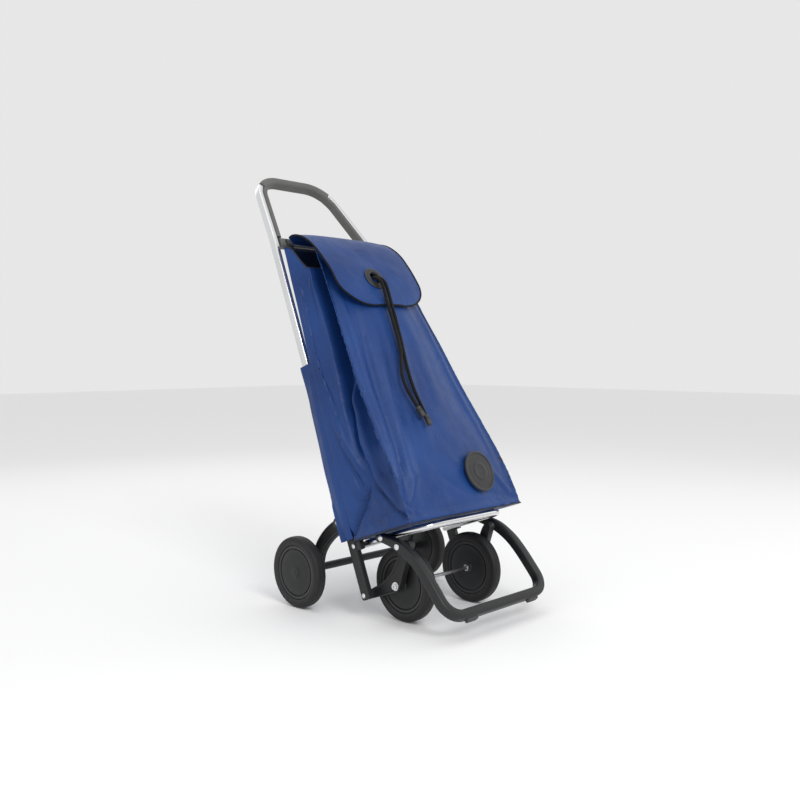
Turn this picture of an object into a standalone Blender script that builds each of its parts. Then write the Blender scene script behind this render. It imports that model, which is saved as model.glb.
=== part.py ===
"""Folding four-wheeled shopping trolley: leaning back frame, folding base, stand loop, bag and flap.

Everything above the ground is drawn in the frame's own leaning axes: x across, y rearwards and
z up along the side rails, with zero at the front wheel axle. One parent empty leans those axes
back and lifts them to their place over the ground.
"""
import math

import bmesh
import bpy
import numpy as np
from mathutils import Matrix, Vector

# ---------------------------------------------------------------- driving dimensions (metres)
GAP = 0.0003                      # air between pieces that touch
LEAN = math.radians(22.0)         # how far the whole frame leans back
WHEEL_RADIUS = 0.0825
WHEEL_WIDTH = 0.028
HUB_RADIUS = 0.0625
FRONT_AXLE_Y = -0.1788            # row frame: puts the middle of the object's box at y = 0
FRONT_WHEEL_X = 0.112
REAR_WHEEL_X = 0.205
REAR_AXLE = (0.2355, 0.0951)      # (y, z) in the leaning axes

RAIL_INNER_X = 0.1576             # side rail, a rectangular aluminium tube
RAIL_WIDTH = 0.013
RAIL_Y = 0.073
RAIL_DEPTH = 0.020
RAIL_WALL = 0.0016
RAIL_START_Z = 0.2003
CROSSBAR_Z = 0.864
CROSSBAR_SHORT = 0.0055           # its ends stop short of the rails, which lean in above it
HANDLE_BEND = math.radians(16.6)  # the handle bends back from the frame's line
HANDLE_LEG = 0.1655               # straight leg of the handle's outline, above the crossbar
HANDLE_TOP_X = 0.1358             # half width where the leg meets the corner arc
HANDLE_CORNER_RADIUS = 0.090
GRIP_RAIL_TURN = 44.0             # degrees round the corner up to which the rail runs outside

BASE_HINGE = (0.067, 0.110)       # B: folding base on the frame
CARRIAGE_PIVOT = (0.076, 0.000)   # C: front wheel carriage on the frame's lower end
STAND_PIVOT = (-0.027, 0.1065)    # P: stand loop on the folding base
LINK_POINT = (-0.068, 0.077)      # A: stand loop on the carriage, the pivot left open
REAR_HINGE = (0.100, 0.172)       # rear wheel arms on the frame
FLAP_HINGE = (0.0685, 0.8815)

BASE_TUBE_X = 0.1425
BASE_TUBE_RADIUS = 0.008
BASE_TUBE_Z = 0.1085
BASE_FRONT_Y = -0.104
BASE_CORNER_RADIUS = 0.058

FOOT_OUTER_X = RAIL_INNER_X + RAIL_WIDTH + 0.001
BRACKET_X = (0.1285, 0.1460)      # front wheel bracket, inner and outer face
REAR_ARM_X = (0.142, 0.156)       # rear wheel arm, inner and outer face
REAR_ARM_RADII = (0.0165, 0.0150)  # rear arm's half depth at its hinge and at the axle
AXLE_RADIUS = 0.004
REAR_AXLE_RADIUS = 0.005
REAR_AXLE_HALF = 0.2125           # half the rod's length across
REAR_TUBE_RADIUS = 0.009
REAR_TUBE_HALF = 0.190
RIVET_RADIUS = 0.0035             # rivets through the base's tube and the brackets
PIN_RADIUS = 0.004                # stand, link and rear arm pins
PIN_HEAD_RADIUS = 0.0065
PIN_COLLAR_RADIUS = 0.0070
PIN_TIP_RADIUS = 0.0050
RIVET_BORE = RIVET_RADIUS + GAP
PIN_BORE = PIN_RADIUS + GAP
AXLE_BORE = AXLE_RADIUS + GAP
REAR_AXLE_BORE = REAR_AXLE_RADIUS + GAP

STAND_OUTER_X = 0.175             # stand loop: arms outside the base, bar in front
STAND_WIDTH = 0.021
STAND_DEPTH = 0.024
STAND_TOP_DEPTH = 0.017
STAND_CORNER_RADIUS = 0.042
STAND_TILT = math.radians(17.0)
STAND_BAR = (-0.1475, -0.0925)    # middle of the stand's bar, (y, z)
# Side view of the stand's arm, from above its pivot down to where the corner starts
STAND_ARM_LINE = (
    (-0.012, 0.1090), (-0.027, 0.1045), (-0.068, 0.077), (-0.0985, 0.040), (-0.1170, 0.002),
    (-0.1300, -0.034), (-0.1370, -0.055),
)

BAG_BOTTOM_Z = 0.1185
BAG_WALL = 0.0025
SEAM_GAP = 0.0018                 # a panel's end stays this far back from its seam
FLAP_THICKNESS = 0.0024
EYELET_X = -0.016
EYELET_Z = 0.709
CORD_RADIUS = 0.004
BADGE_RADIUS = 0.048

# Bag sections by height: z, rear y, front corner y, front middle y, rear half width,
# front half width, depth of the pleat in the side
BAG_SECTIONS = (
    (0.1185, 0.054, -0.139, -0.141, 0.184, 0.195, 0.000),
    (0.160, 0.056, -0.135, -0.142, 0.186, 0.197, 0.004),
    (0.225, 0.056, -0.127, -0.140, 0.186, 0.195, 0.012),
    (0.310, 0.056, -0.108, -0.131, 0.184, 0.187, 0.022),
    (0.420, 0.056, -0.085, -0.114, 0.179, 0.177, 0.032),
    (0.540, 0.056, -0.066, -0.098, 0.170, 0.166, 0.042),
    (0.650, 0.056, -0.047, -0.082, 0.161, 0.152, 0.050),
    (0.730, 0.056, -0.036, -0.060, 0.154, 0.145, 0.054),
    (0.800, 0.056, -0.026, -0.040, 0.150, 0.140, 0.056),
)
BAG_REAR_TOP_Z = 0.856
BAG_PLEAT_TOP_Z = 0.770

# Flap centre line from the hinge over the mouth and down the front, as (y, z)
FLAP_LINE = (
    (0.0655, 0.8815), (0.0530, 0.8850), (0.0380, 0.8850), (0.0180, 0.8770), (-0.0050, 0.8590),
    (-0.0270, 0.8330), (-0.0450, 0.8000), (-0.0590, 0.7640), (-0.0690, 0.7340),
    (-0.0800, 0.6840), (-0.0890, 0.6430),
)
FLAP_HALF_WIDTHS = (
    0.128, 0.140, 0.149, 0.149, 0.147, 0.145, 0.144, 0.142, 0.140, 0.130, 0.062,
)

# Routes of the two cord ends, chosen by hand, from the eyelet down the bag's front
CORD_ROUTES = {
    "left": (
        (-0.0205, -0.0740, 0.7105), (-0.0207, -0.0870, 0.7050), (-0.0200, -0.0960, 0.6910),
        (-0.0180, -0.0965, 0.6700), (-0.0215, -0.0985, 0.6380), (-0.0250, -0.1020, 0.6050),
        (-0.0300, -0.1065, 0.5700), (-0.0360, -0.1115, 0.5350), (-0.0450, -0.1160, 0.5000),
        (-0.0590, -0.1190, 0.4680), (-0.0690, -0.1225, 0.4380), (-0.0705, -0.1265, 0.4100),
        (-0.0665, -0.1305, 0.3860), (-0.0620, -0.1345, 0.3640),
    ),
    "right": (
        (-0.0115, -0.0740, 0.7105), (-0.0110, -0.0880, 0.7045), (-0.0085, -0.0970, 0.6890),
        (-0.0060, -0.0970, 0.6680), (-0.0085, -0.0985, 0.6380), (-0.0130, -0.1020, 0.6050),
        (-0.0190, -0.1060, 0.5700), (-0.0260, -0.1105, 0.5350), (-0.0335, -0.1145, 0.5000),
        (-0.0400, -0.1180, 0.4700), (-0.0450, -0.1220, 0.4400), (-0.0480, -0.1265, 0.4080),
        (-0.0470, -0.1310, 0.3760), (-0.0445, -0.1350, 0.3440),
    ),
}
CORD_TIP_LENGTH = 0.026
CORD_TIP_RADIUS = 0.0062

COLOURS = {                       # base colour, roughness, metallic
    "aluminium": ((0.80, 0.80, 0.80), 0.25, 1.0),
    "steel": ((0.70, 0.70, 0.72), 0.2, 1.0),
    "black_plastic": ((0.035, 0.036, 0.038), 0.5, 0.0),
    "grey_plastic": ((0.12, 0.12, 0.115), 0.55, 0.0),
    "tyre": ((0.03, 0.03, 0.032), 0.7, 0.0),
    "fabric": ((0.045, 0.09, 0.28), 0.6, 0.0),
    "cord": ((0.01, 0.01, 0.01), 0.8, 0.0),
    "board": ((0.05, 0.05, 0.05), 0.8, 0.0),
}
SIDES = (("left", -1.0), ("right", 1.0))


# ---------------------------------------------------------------- helpers
def clear_scene():
    for obj in list(bpy.data.objects):
        bpy.data.objects.remove(obj)


def material(node, kind):
    colour, roughness, metallic = COLOURS[kind]
    made = bpy.data.materials.new(node + "_" + kind)
    made.use_nodes = True
    shader = made.node_tree.nodes["Principled BSDF"]
    shader.inputs["Base Color"].default_value = (*colour, 1.0)
    shader.inputs["Roughness"].default_value = roughness
    shader.inputs["Metallic"].default_value = metallic
    return made


def empty(name, parent, location):
    made = bpy.data.objects.new(name, None)
    bpy.context.scene.collection.objects.link(made)
    made.parent = parent
    made.location = location
    return made


def finish(node, bm, kind, pivot, smooth=35.0):
    """Makes the node's object from a mesh drawn in the leaning axes and hangs it on its pivot."""
    bmesh.ops.recalc_face_normals(bm, faces=bm.faces)
    if bm.calc_volume(signed=True) < 0:
        bmesh.ops.reverse_faces(bm, faces=bm.faces)
    mesh = bpy.data.meshes.new(node)
    bm.to_mesh(mesh)
    bm.free()
    return attach(node, mesh, kind, pivot, smooth)


def attach(node, mesh, kind, pivot, smooth=35.0):
    mesh.transform(Matrix.Translation(-Vector(pivot["at"])))
    mesh.materials.clear()
    mesh.materials.append(material(node, kind))
    mesh.shade_smooth()
    mesh.set_sharp_from_angle(angle=math.radians(smooth))
    made = bpy.data.objects.new(node, mesh)
    bpy.context.scene.collection.objects.link(made)
    made.parent = pivot["empty"]
    return made


def add_rings(bm, rings, closed=False):
    """Skins rings of points with the same count; an open run gets flat ends."""
    loops = [[bm.verts.new(p) for p in ring] for ring in rings]
    count = len(loops[0])
    pairs = list(zip(loops[:-1], loops[1:]))
    if closed:
        pairs.append((loops[-1], loops[0]))
    for first, second in pairs:
        for i in range(count):
            j = (i + 1) % count
            bm.faces.new((first[i], first[j], second[j], second[i]))
    if not closed:
        bm.faces.new(list(reversed(loops[0])))
        bm.faces.new(loops[-1])


def sweep(node, path, section, kind, pivot, across=None):
    """Sweeps a flat section of (a, b) points along a path. `across` gives the a direction."""
    points = [Vector(p) for p in path]
    bm = bmesh.new()
    rings = []
    for i, point in enumerate(points):
        before = points[max(i - 1, 0)]
        after = points[min(i + 1, len(points) - 1)]
        along = (after - before).normalized()
        side = (across[i] - along * across[i].dot(along)).normalized()
        up = along.cross(side)
        shape = section(i) if callable(section) else section
        rings.append([point + side * a + up * b for a, b in shape])
    add_rings(bm, rings)
    return finish(node, bm, kind, pivot)


def rounded(width, height, radius, steps=2):
    """Points of a rounded rectangle, anticlockwise."""
    points = []
    corners = ((1, 1, 0), (-1, 1, 90), (-1, -1, 180), (1, -1, 270))
    for sx, sy, start in corners:
        for k in range(steps + 1):
            angle = math.radians(start + 90 * k / steps)
            points.append((
                sx * (width / 2 - radius) + radius * math.cos(angle),
                sy * (height / 2 - radius) + radius * math.sin(angle),
            ))
    return points


def circle(radius, count):
    return [
        (radius * math.cos(2 * math.pi * k / count), radius * math.sin(2 * math.pi * k / count))
        for k in range(count)
    ]


def arc(centre, radius, start, end, steps):
    """Points of an arc in a plane, angles in degrees."""
    points = []
    for k in range(steps + 1):
        angle = math.radians(start + (end - start) * k / steps)
        points.append((centre[0] + radius * math.cos(angle), centre[1] + radius * math.sin(angle)))
    return points


def turned(node, profile, centre, kind, pivot, count=32, closed=False, axis_turn=None):
    """Turns a profile of (radius, x) points about the x direction through centre (x, y, z)."""
    bm = bmesh.new()
    rings = []
    for radius, x in profile:
        rings.append([(x, a, b) for a, b in circle(radius, count)])
    add_rings(bm, rings, closed)
    if axis_turn is not None:
        bm.transform(axis_turn)
    bm.transform(Matrix.Translation(Vector(centre)))
    return finish(node, bm, kind, pivot)


def plate(node, outline, x_from, x_to, kind, pivot, holes=()):
    """A flat plate: an outline of (y, z) points between two x values, with round holes."""
    bm = bmesh.new()
    ring_a = [(x_from, y, z) for y, z in outline]
    ring_b = [(x_to, y, z) for y, z in outline]
    add_rings(bm, [ring_a, ring_b])
    made = finish(node, bm, kind, pivot)
    for place, radius in holes:
        drill(made, place, radius, pivot)
    return made


def drill(obj, place, radius, pivot, count=16):
    """Cuts a round hole along x through the object at (y, z)."""
    bm = bmesh.new()
    rings = [[(x, a, b) for a, b in circle(radius, count)] for x in (-0.3, 0.3)]
    add_rings(bm, rings)
    bm.transform(Matrix.Translation(Vector((0.0, place[0], place[1])) - Vector(pivot["at"])))
    bmesh.ops.recalc_face_normals(bm, faces=bm.faces)
    cut(obj, bm)


def cut(obj, bm):
    """Subtracts the mesh in bm, drawn about the object's own origin."""
    mesh = bpy.data.meshes.new("cutter")
    bm.to_mesh(mesh)
    bm.free()
    cutter = bpy.data.objects.new("cutter", mesh)
    bpy.context.scene.collection.objects.link(cutter)
    cutter.parent = obj.parent
    cutter.hide_render = True
    cutter.display_type = "WIRE"
    modifier = obj.modifiers.new("cut", "BOOLEAN")
    modifier.operation = "DIFFERENCE"
    modifier.object = cutter
    modifier.solver = "EXACT"


def pin(node, stations, place, side, pivot, kind="steel", count=16):
    """A turned pin or rivet: stations of (radius, distance from the middle plane)."""
    profile = [(radius, side * x) for radius, x in stations]
    return turned(node, profile, (0.0, place[0], place[1]), kind, pivot, count)


def smooth_route(points, step):
    """A smooth curve through the points, read off at about equal steps."""
    knots = [Vector(p) for p in points]
    knots = [knots[0] * 2 - knots[1]] + knots + [knots[-1] * 2 - knots[-2]]
    fine = []
    for k in range(1, len(knots) - 2):
        p0, p1, p2, p3 = knots[k - 1:k + 3]
        for j in range(20):
            t = j / 20
            fine.append(0.5 * (2 * p1 + (p2 - p0) * t + (2 * p0 - 5 * p1 + 4 * p2 - p3) * t * t
                               + (3 * p1 - p0 - 3 * p2 + p3) * t * t * t))
    fine.append(knots[-2])
    walked = [0.0]
    for a, b in zip(fine[:-1], fine[1:]):
        walked.append(walked[-1] + (b - a).length)
    count = max(2, round(walked[-1] / step))
    wanted = np.linspace(0.0, walked[-1], count + 1)
    axes = [np.interp(wanted, walked, [p[i] for p in fine]) for i in range(3)]
    return [Vector(p) for p in zip(*axes)]


# ---------------------------------------------------------------- handle outline
def handle_point(x, s, depth=0.0):
    """A point on the bent-back handle plane: s up from the crossbar, depth rearwards."""
    sine, cosine = math.sin(HANDLE_BEND), math.cos(HANDLE_BEND)
    return Vector((x, RAIL_Y + s * sine + depth * cosine, CROSSBAR_Z + s * cosine - depth * sine))


def handle_outline(inset, from_s=0.0, to_angle=90.0, arc_steps=7):
    """Right half of the handle's outline moved inwards by inset: (x, s, inward direction)."""
    outer = RAIL_INNER_X + RAIL_WIDTH
    slope = math.atan2(outer - HANDLE_TOP_X, HANDLE_LEG)
    inward = (-math.cos(slope), -math.sin(slope))
    points = []
    for s in (from_s, (from_s + HANDLE_LEG) / 2):
        x = outer + (HANDLE_TOP_X - outer) * s / HANDLE_LEG
        points.append((x + inward[0] * inset, s + inward[1] * inset, inward))
    centre = (HANDLE_TOP_X + inward[0] * HANDLE_CORNER_RADIUS,
              HANDLE_LEG + inward[1] * HANDLE_CORNER_RADIUS)
    start = math.degrees(slope)
    for k in range(arc_steps + 1):
        angle = math.radians(start + (to_angle - start) * k / arc_steps)
        direction = (-math.cos(angle), -math.sin(angle))
        reach = HANDLE_CORNER_RADIUS - inset
        points.append((centre[0] - direction[0] * reach, centre[1] - direction[1] * reach,
                       direction))
    return points


# ---------------------------------------------------------------- back frame
def side_rail(name, side, pivot):
    """Aluminium tube up the side, bent back at the crossbar and tucked into the grip's corner."""
    half = RAIL_WIDTH / 2
    middle = RAIL_INNER_X + half
    path = [Vector((side * middle, RAIL_Y, z)) for z in (RAIL_START_Z, 0.54, CROSSBAR_Z - 0.012)]
    across = [Vector((-side, 0, 0))] * 3
    for x, s, inward in handle_outline(half, 0.012, 37.0, 4):
        path.append(handle_point(side * x, s))
        across.append(handle_point(side * inward[0], inward[1]) - handle_point(0.0, 0.0))
    made = sweep("side_rail_" + name, path, rounded(RAIL_WIDTH, RAIL_DEPTH, 0.003, 2),
                 "aluminium", pivot, across)
    bore = [p.copy() for p in path]
    bore[0].z -= 0.01
    last = (path[-1] - path[-2]).normalized()
    bore[-1] = path[-1] + last * 0.01
    inner = (RAIL_WIDTH - 2 * RAIL_WALL, RAIL_DEPTH - 2 * RAIL_WALL)
    bm = bmesh.new()
    rings = []
    for i, point in enumerate(bore):
        along = (path[min(i + 1, len(path) - 1)] - path[max(i - 1, 0)]).normalized()
        sideways = (across[i] - along * across[i].dot(along)).normalized()
        up = along.cross(sideways)
        rings.append([point + sideways * a + up * b for a, b in rounded(*inner, 0.0016, 1)])
    add_rings(bm, rings)
    bm.transform(Matrix.Translation(-Vector(pivot["at"])))
    bmesh.ops.recalc_face_normals(bm, faces=bm.faces)
    cut(made, bm)


def grip(pivot):
    """Plastic handle: legs inside the rails, opening out to a full grip over the top."""
    rail = RAIL_WIDTH + GAP
    leg, full = 0.0115, 0.0235

    stations = []
    for x, s, inward in handle_outline(0.0, 0.0185, 90.0, 9):
        turn = math.degrees(math.atan2(-inward[1], -inward[0]))
        on_rail = turn < GRIP_RAIL_TURN
        stations.append((x, s, inward, rail if on_rail else 0.0, leg if on_rail else full))
    half = []
    for entry in stations:
        if half and half[-1][3] > 0 and entry[3] == 0:
            x, s, inward = entry[0], entry[1], entry[2]
            back = Vector((half[-1][0] - x, half[-1][1] - s)).normalized() * 0.004
            half.append((x + back.x, s + back.y, inward, rail, leg + 0.002))
        half.append(entry)
    mirrored = [(-x, s, (-i[0], i[1]), o, w) for x, s, i, o, w in reversed(half)]
    bm = bmesh.new()
    rings = []
    for x, s, inward, outset, width in half + mirrored:
        depth = 0.024 if outset else 0.027
        ring = []
        for a, b in rounded(width, depth, 0.0045 if outset else 0.008, 2):
            reach = outset + width / 2 + a
            ring.append(handle_point(x + inward[0] * reach, s + inward[1] * reach, b))
        rings.append(ring)
    add_rings(bm, rings)
    return finish("handle_grip", bm, "grey_plastic", pivot)


def crossbar(pivot):
    """Plastic bar between the rails that carries the handle's feet and the bag's rear hem."""
    reach = RAIL_INNER_X - CROSSBAR_SHORT
    bm = bmesh.new()
    rings = []
    for x in (-reach, reach):
        rings.append([(x, RAIL_Y + a, CROSSBAR_Z + b) for a, b in rounded(0.022, 0.022, 0.004, 2)])
    add_rings(bm, rings)
    return finish("crossbar", bm, "grey_plastic", pivot)


def rail_foot(name, side, pivot):
    """Black lower leg of the frame, with the hinge places and a lug for the rear arm."""
    outline = (
        (0.0615, -0.004), (0.0675, -0.0105), (0.0795, -0.0105), (0.0855, -0.004),
        (0.0855, 0.144), (0.104, 0.155), (0.1135, 0.163), (0.1135, 0.181), (0.104, 0.189),
        (0.0855, 0.194), (0.0845, 0.200), (0.0615, 0.200),
    )
    outer = side * FOOT_OUTER_X
    plate("rail_foot_" + name, outline, side * RAIL_INNER_X, outer, "black_plastic", pivot,
          ((BASE_HINGE, RIVET_BORE), (CARRIAGE_PIVOT, RIVET_BORE), (REAR_HINGE, PIN_BORE)))


def bag_hook(name, side, pivot):
    """Clip on the crossbar's front face that the bag's rear hem hangs on."""
    x = side * 0.128
    top = RAIL_Y - 0.011 - GAP
    outline = ((top, 0.870), (top - 0.004, 0.870), (top - 0.004, 0.858), (top - 0.004, 0.834),
               (top, 0.834))
    plate("bag_hook_" + name, outline, x - 0.009, x + 0.009, "black_plastic", pivot)


# ---------------------------------------------------------------- folding base and stand
def base_tube(pivot):
    """One aluminium tube bent to a U: sides hinged on the frame, bar under the bag's front."""
    radius = BASE_CORNER_RADIUS
    rear = [(BASE_TUBE_X, BASE_HINGE[0] + 0.008), (BASE_TUBE_X, 0.0)]
    corner = arc((BASE_TUBE_X - radius, BASE_FRONT_Y + radius), radius, 0, -90, 6)
    half = [Vector((x, y, BASE_TUBE_Z)) for x, y in rear + corner]
    path = half + [Vector((-p.x, p.y, p.z)) for p in reversed(half)]
    across = [Vector((0, 0, 1))] * len(path)
    return sweep("base_tube", path, circle(BASE_TUBE_RADIUS, 12), "aluminium", pivot, across)


def stand_loop(pivot):
    """Moulded loop: arms curving down from the base to a bar the trolley stands on."""
    arm = [Vector((0.0, y, z)) for y, z in STAND_ARM_LINE]
    middle = STAND_OUTER_X - STAND_WIDTH / 2
    route = smooth_route(arm, 0.022)
    half = [Vector((middle, p.y, p.z)) for p in route]
    foot, before = route[-1], route[-2]
    down = (foot - before).normalized()
    radius = STAND_CORNER_RADIUS
    for k in range(1, 5):
        angle = math.pi / 2 * k / 4
        travel = down * (radius * math.sin(angle))
        half.append(Vector((middle - radius * (1 - math.cos(angle)), foot.y + travel.y,
                            foot.z + travel.z)))
    path = half + [Vector((-p.x, p.y, p.z)) for p in reversed(half)]
    normal = Vector((0.0, -math.cos(STAND_TILT), math.sin(STAND_TILT)))
    across = []
    for i, p in enumerate(path):
        along = (path[min(i + 1, len(path) - 1)] - path[max(i - 1, 0)]).normalized()
        straight = Vector((-1 if p.x > 0 else 1, 0, 0))
        across.append(straight if abs(along.x) <= 0.01 else along.cross(normal))
    top = len(route) // 3

    def section(i):
        share = min(1.0, min(i, len(path) - 1 - i) / top)
        depth = STAND_TOP_DEPTH + (STAND_DEPTH - STAND_TOP_DEPTH) * share
        return rounded(STAND_WIDTH, depth, 0.005, 2)

    made = sweep("stand_loop", path, section, "black_plastic", pivot, across)
    for place in (STAND_PIVOT, LINK_POINT):
        drill(made, place, PIN_BORE, pivot)
    return made


def stand_pad(name, side, pivot):
    """Rubber pad under the stand's bar."""
    centre = Vector((side * 0.105, STAND_BAR[0], STAND_BAR[1]))
    down = Vector((0.0, -math.sin(LEAN), -math.cos(LEAN)))
    ahead = Vector((0.0, -math.cos(LEAN), math.sin(LEAN)))
    bm = bmesh.new()
    rings = []
    for drop, shrink in ((0.0148, 0.0), (0.0188, 0.002)):
        ring = []
        for a, b in rounded(0.034 - shrink, 0.014 - shrink, 0.004, 2):
            ring.append(centre + down * drop + Vector((a, 0, 0)) + ahead * b)
        rings.append(ring)
    add_rings(bm, rings)
    return finish("stand_pad_" + name, bm, "tyre", pivot)


def base_board(pivot):
    """Stiff board in the bottom of the bag, on the base tube."""
    outline = rounded(0.296, 0.136, 0.02, 3)
    bottom = BAG_BOTTOM_Z + BAG_WALL + GAP
    bm = bmesh.new()
    rings = [[(a, b - 0.034, z) for a, b in outline] for z in (bottom, bottom + 0.004)]
    add_rings(bm, rings)
    return finish("base_board", bm, "board", pivot)


# ---------------------------------------------------------------- front wheel carriage
def wheel_bracket(name, side, pivot):
    """Quarter-round moulded plate from the frame's lower end up to the stand, with a deep rim."""
    top, rear, front = LINK_POINT, CARRIAGE_PIVOT, (0.0, 0.0)
    hollow = [(rear[0] - 0.012, 0.0125), (0.040, 0.0155), (0.012, 0.0255), (-0.012, 0.040),
              (-0.033, 0.058), (-0.0465, 0.073), (top[0] + 0.012, top[1] + 0.0045)]
    outline = (
        arc(rear, 0.0105, -90, 70, 4) + hollow + arc(top, 0.0105, 40, 200, 4)
        + arc(front, 0.0125, 205, 262, 3)
    )
    inner, outer = BRACKET_X
    plate("wheel_bracket_" + name, outline, side * inner, side * outer, "black_plastic", pivot,
          ((CARRIAGE_PIVOT, RIVET_BORE), ((0.0, 0.0), AXLE_BORE)))


def front_axle(pivot):
    stations = ((AXLE_RADIUS, -0.1455), (AXLE_RADIUS, 0.1455))
    turned("front_axle", stations, (0, 0, 0), "steel", pivot, 16)
    for name, side in SIDES:
        bolt = ((0.0065, 0.1463), (0.0065, 0.1485), (0.005, 0.1500))
        pin("axle_bolt_" + name, bolt, (0.0, 0.0), side, pivot)
        ring = ((AXLE_BORE, 0.0925), (AXLE_BORE, 0.0975), (0.0075, 0.0975), (0.0075, 0.0925))
        profile = [(radius, side * x) for radius, x in ring]
        turned("axle_nut_" + name, profile, (0, 0, 0), "steel", pivot, 12, closed=True)


# ---------------------------------------------------------------- rear wheels
def rear_arm(name, side, pivot):
    """Curved arm from the frame's lug down to the rear axle."""
    line = smooth_route([(0, *REAR_HINGE), (0, 0.160, 0.1585), (0, 0.205, 0.134), (0, *REAR_AXLE)],
                        0.016)
    widths = np.linspace(*REAR_ARM_RADII, len(line))
    upper, lower = [], []
    for i, p in enumerate(line):
        along = (line[min(i + 1, len(line) - 1)] - line[max(i - 1, 0)]).normalized()
        normal = Vector((0.0, -along.z, along.y)) * float(widths[i])
        upper.append((p.y + normal.y, p.z + normal.z))
        lower.append((p.y - normal.y, p.z - normal.z))
    first = math.degrees(math.atan2(upper[0][1] - REAR_HINGE[1], upper[0][0] - REAR_HINGE[0]))
    last = math.degrees(math.atan2(lower[-1][1] - REAR_AXLE[1], lower[-1][0] - REAR_AXLE[0]))
    start_cap = arc(REAR_HINGE, REAR_ARM_RADII[0], first, first + 180, 6)[1:-1]
    end_cap = arc(REAR_AXLE, REAR_ARM_RADII[1], last, last + 180, 6)[1:-1]
    outline = upper + list(reversed(end_cap)) + list(reversed(lower)) + list(reversed(start_cap))
    inner, outer = REAR_ARM_X
    plate("rear_arm_" + name, outline, side * inner, side * outer, "black_plastic", pivot,
          ((REAR_HINGE, PIN_BORE), (REAR_AXLE, REAR_TUBE_RADIUS + GAP)))


def rear_axle(pivot):
    middle = (0.0, *REAR_AXLE)
    rod = ((REAR_AXLE_RADIUS, -REAR_AXLE_HALF), (REAR_AXLE_RADIUS, REAR_AXLE_HALF))
    turned("rear_axle_rod", rod, middle, "steel", pivot, 16)
    tube = ((REAR_AXLE_BORE, -REAR_TUBE_HALF), (REAR_AXLE_BORE, REAR_TUBE_HALF),
            (REAR_TUBE_RADIUS, REAR_TUBE_HALF), (REAR_TUBE_RADIUS, -REAR_TUBE_HALF))
    turned("rear_axle_tube", tube, middle, "black_plastic", pivot, 20, closed=True)


# ---------------------------------------------------------------- wheels
def wheel(name, side, centre_x, place, blind, bore, pivot):
    """Solid tyre on a moulded hub. A blind hub closes the wheel's outer face."""
    half = WHEEL_WIDTH / 2
    inner = HUB_RADIUS + GAP
    tyre = ((inner, -half + 0.001), (inner, half - 0.001), (0.068, half), (0.077, half - 0.001),
            (0.0815, half - 0.005), (WHEEL_RADIUS, half - 0.010), (WHEEL_RADIUS, -half + 0.010),
            (0.0815, -half + 0.005), (0.077, -half + 0.001), (0.068, -half))
    centre = (side * centre_x, place[0], place[1])
    turned(name + "_tyre", tyre, centre, "tyre", pivot, 36, closed=True)
    face = half - 0.0025
    if blind:
        hub = ((bore, -face), (bore, face - 0.004), (0.0001, face - 0.004), (0.0001, face),
               (0.0535, face), (HUB_RADIUS, face), (HUB_RADIUS, -face), (0.020, -face))
        profile = [(radius, side * x) for radius, x in hub]
        blind_hub(name + "_hub", profile, centre, pivot)
        return
    hub = ((bore, -face), (bore, face), (0.018, face), (HUB_RADIUS, face), (HUB_RADIUS, -face),
           (0.018, -face))
    turned(name + "_hub", hub, centre, "black_plastic", pivot, 32, closed=True)


def blind_hub(node, profile, centre, pivot):
    """A hub with a hole from one side only: its profile runs from the hole's floor outwards."""
    bm = bmesh.new()
    count = 32
    bore, floor = profile[0], profile[1]
    face = profile[3]
    rings = [[(x, a, b) for a, b in circle(radius, count)]
             for radius, x in (floor, bore, profile[7], profile[6], profile[5], profile[4])]
    loops = [[bm.verts.new(p) for p in ring] for ring in rings]
    for first, second in zip(loops[:-1], loops[1:]):
        for i in range(count):
            j = (i + 1) % count
            bm.faces.new((first[i], first[j], second[j], second[i]))
    hole = bm.verts.new((floor[1], 0.0, 0.0))
    nose = bm.verts.new((face[1], 0.0, 0.0))
    for i in range(count):
        j = (i + 1) % count
        bm.faces.new((hole, loops[0][j], loops[0][i]))
        bm.faces.new((nose, loops[-1][i], loops[-1][j]))
    bm.transform(Matrix.Translation(Vector(centre)))
    return finish(node, bm, "black_plastic", pivot)


# ---------------------------------------------------------------- bag, flap, cord
def bag_ring(section):
    """One level outline of the bag: rear, side with its pleat, bowed front, other side."""
    z, rear, front, middle, rear_x, front_x, pleat = section
    right = []
    for t in (0.0, 0.18, 0.36, 0.5, 0.64, 0.82, 1.0):
        fold = pleat * (1.0 - abs(2.0 * t - 1.0)) ** 0.8
        right.append((rear_x + (front_x - rear_x) * t - fold, rear + (front - rear) * t))
    bow = []
    for t in (0.66, 0.33, 0.0, -0.33, -0.66):
        bow.append((front_x * t, middle + (front - middle) * t * t))
    left = [(-x, y) for x, y in reversed(right)]
    back = [(rear_x * t, rear) for t in (-0.5, 0.0, 0.5)]
    return [(x, y, z) for x, y in right + bow + left + back]


def inset_ring(ring, depth):
    """The level outline moved inwards by depth, square to its own edges."""
    moved = []
    for i, (x, y, z) in enumerate(ring):
        here = Vector((x, y))
        into = (here - Vector(ring[i - 1][:2])).normalized()
        away = (Vector(ring[(i + 1) % len(ring)][:2]) - here).normalized()
        normals = Vector((into.y + away.y, -into.x - away.x))
        here += normals * (depth / (1.0 + into.dot(away)))
        moved.append((here.x, here.y, z))
    return moved


def bag_rim(ring):
    """Lifts the top ring: high at the rear, lower in front, dipping at the side pleats."""
    section = BAG_SECTIONS[-1]
    points = []
    for x, y, z in ring:
        t = (section[1] - y) / (section[1] - section[2])
        t = min(max(t, 0.0), 1.0)
        rim = BAG_REAR_TOP_Z + (section[0] - BAG_REAR_TOP_Z) * t
        if abs(x) > 0.08:
            dip = (1.0 - abs(2.0 * t - 1.0)) ** 1.3
            rim += (BAG_PLEAT_TOP_Z - 0.828) * dip
        points.append((x, y, rim))
    return points


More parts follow.
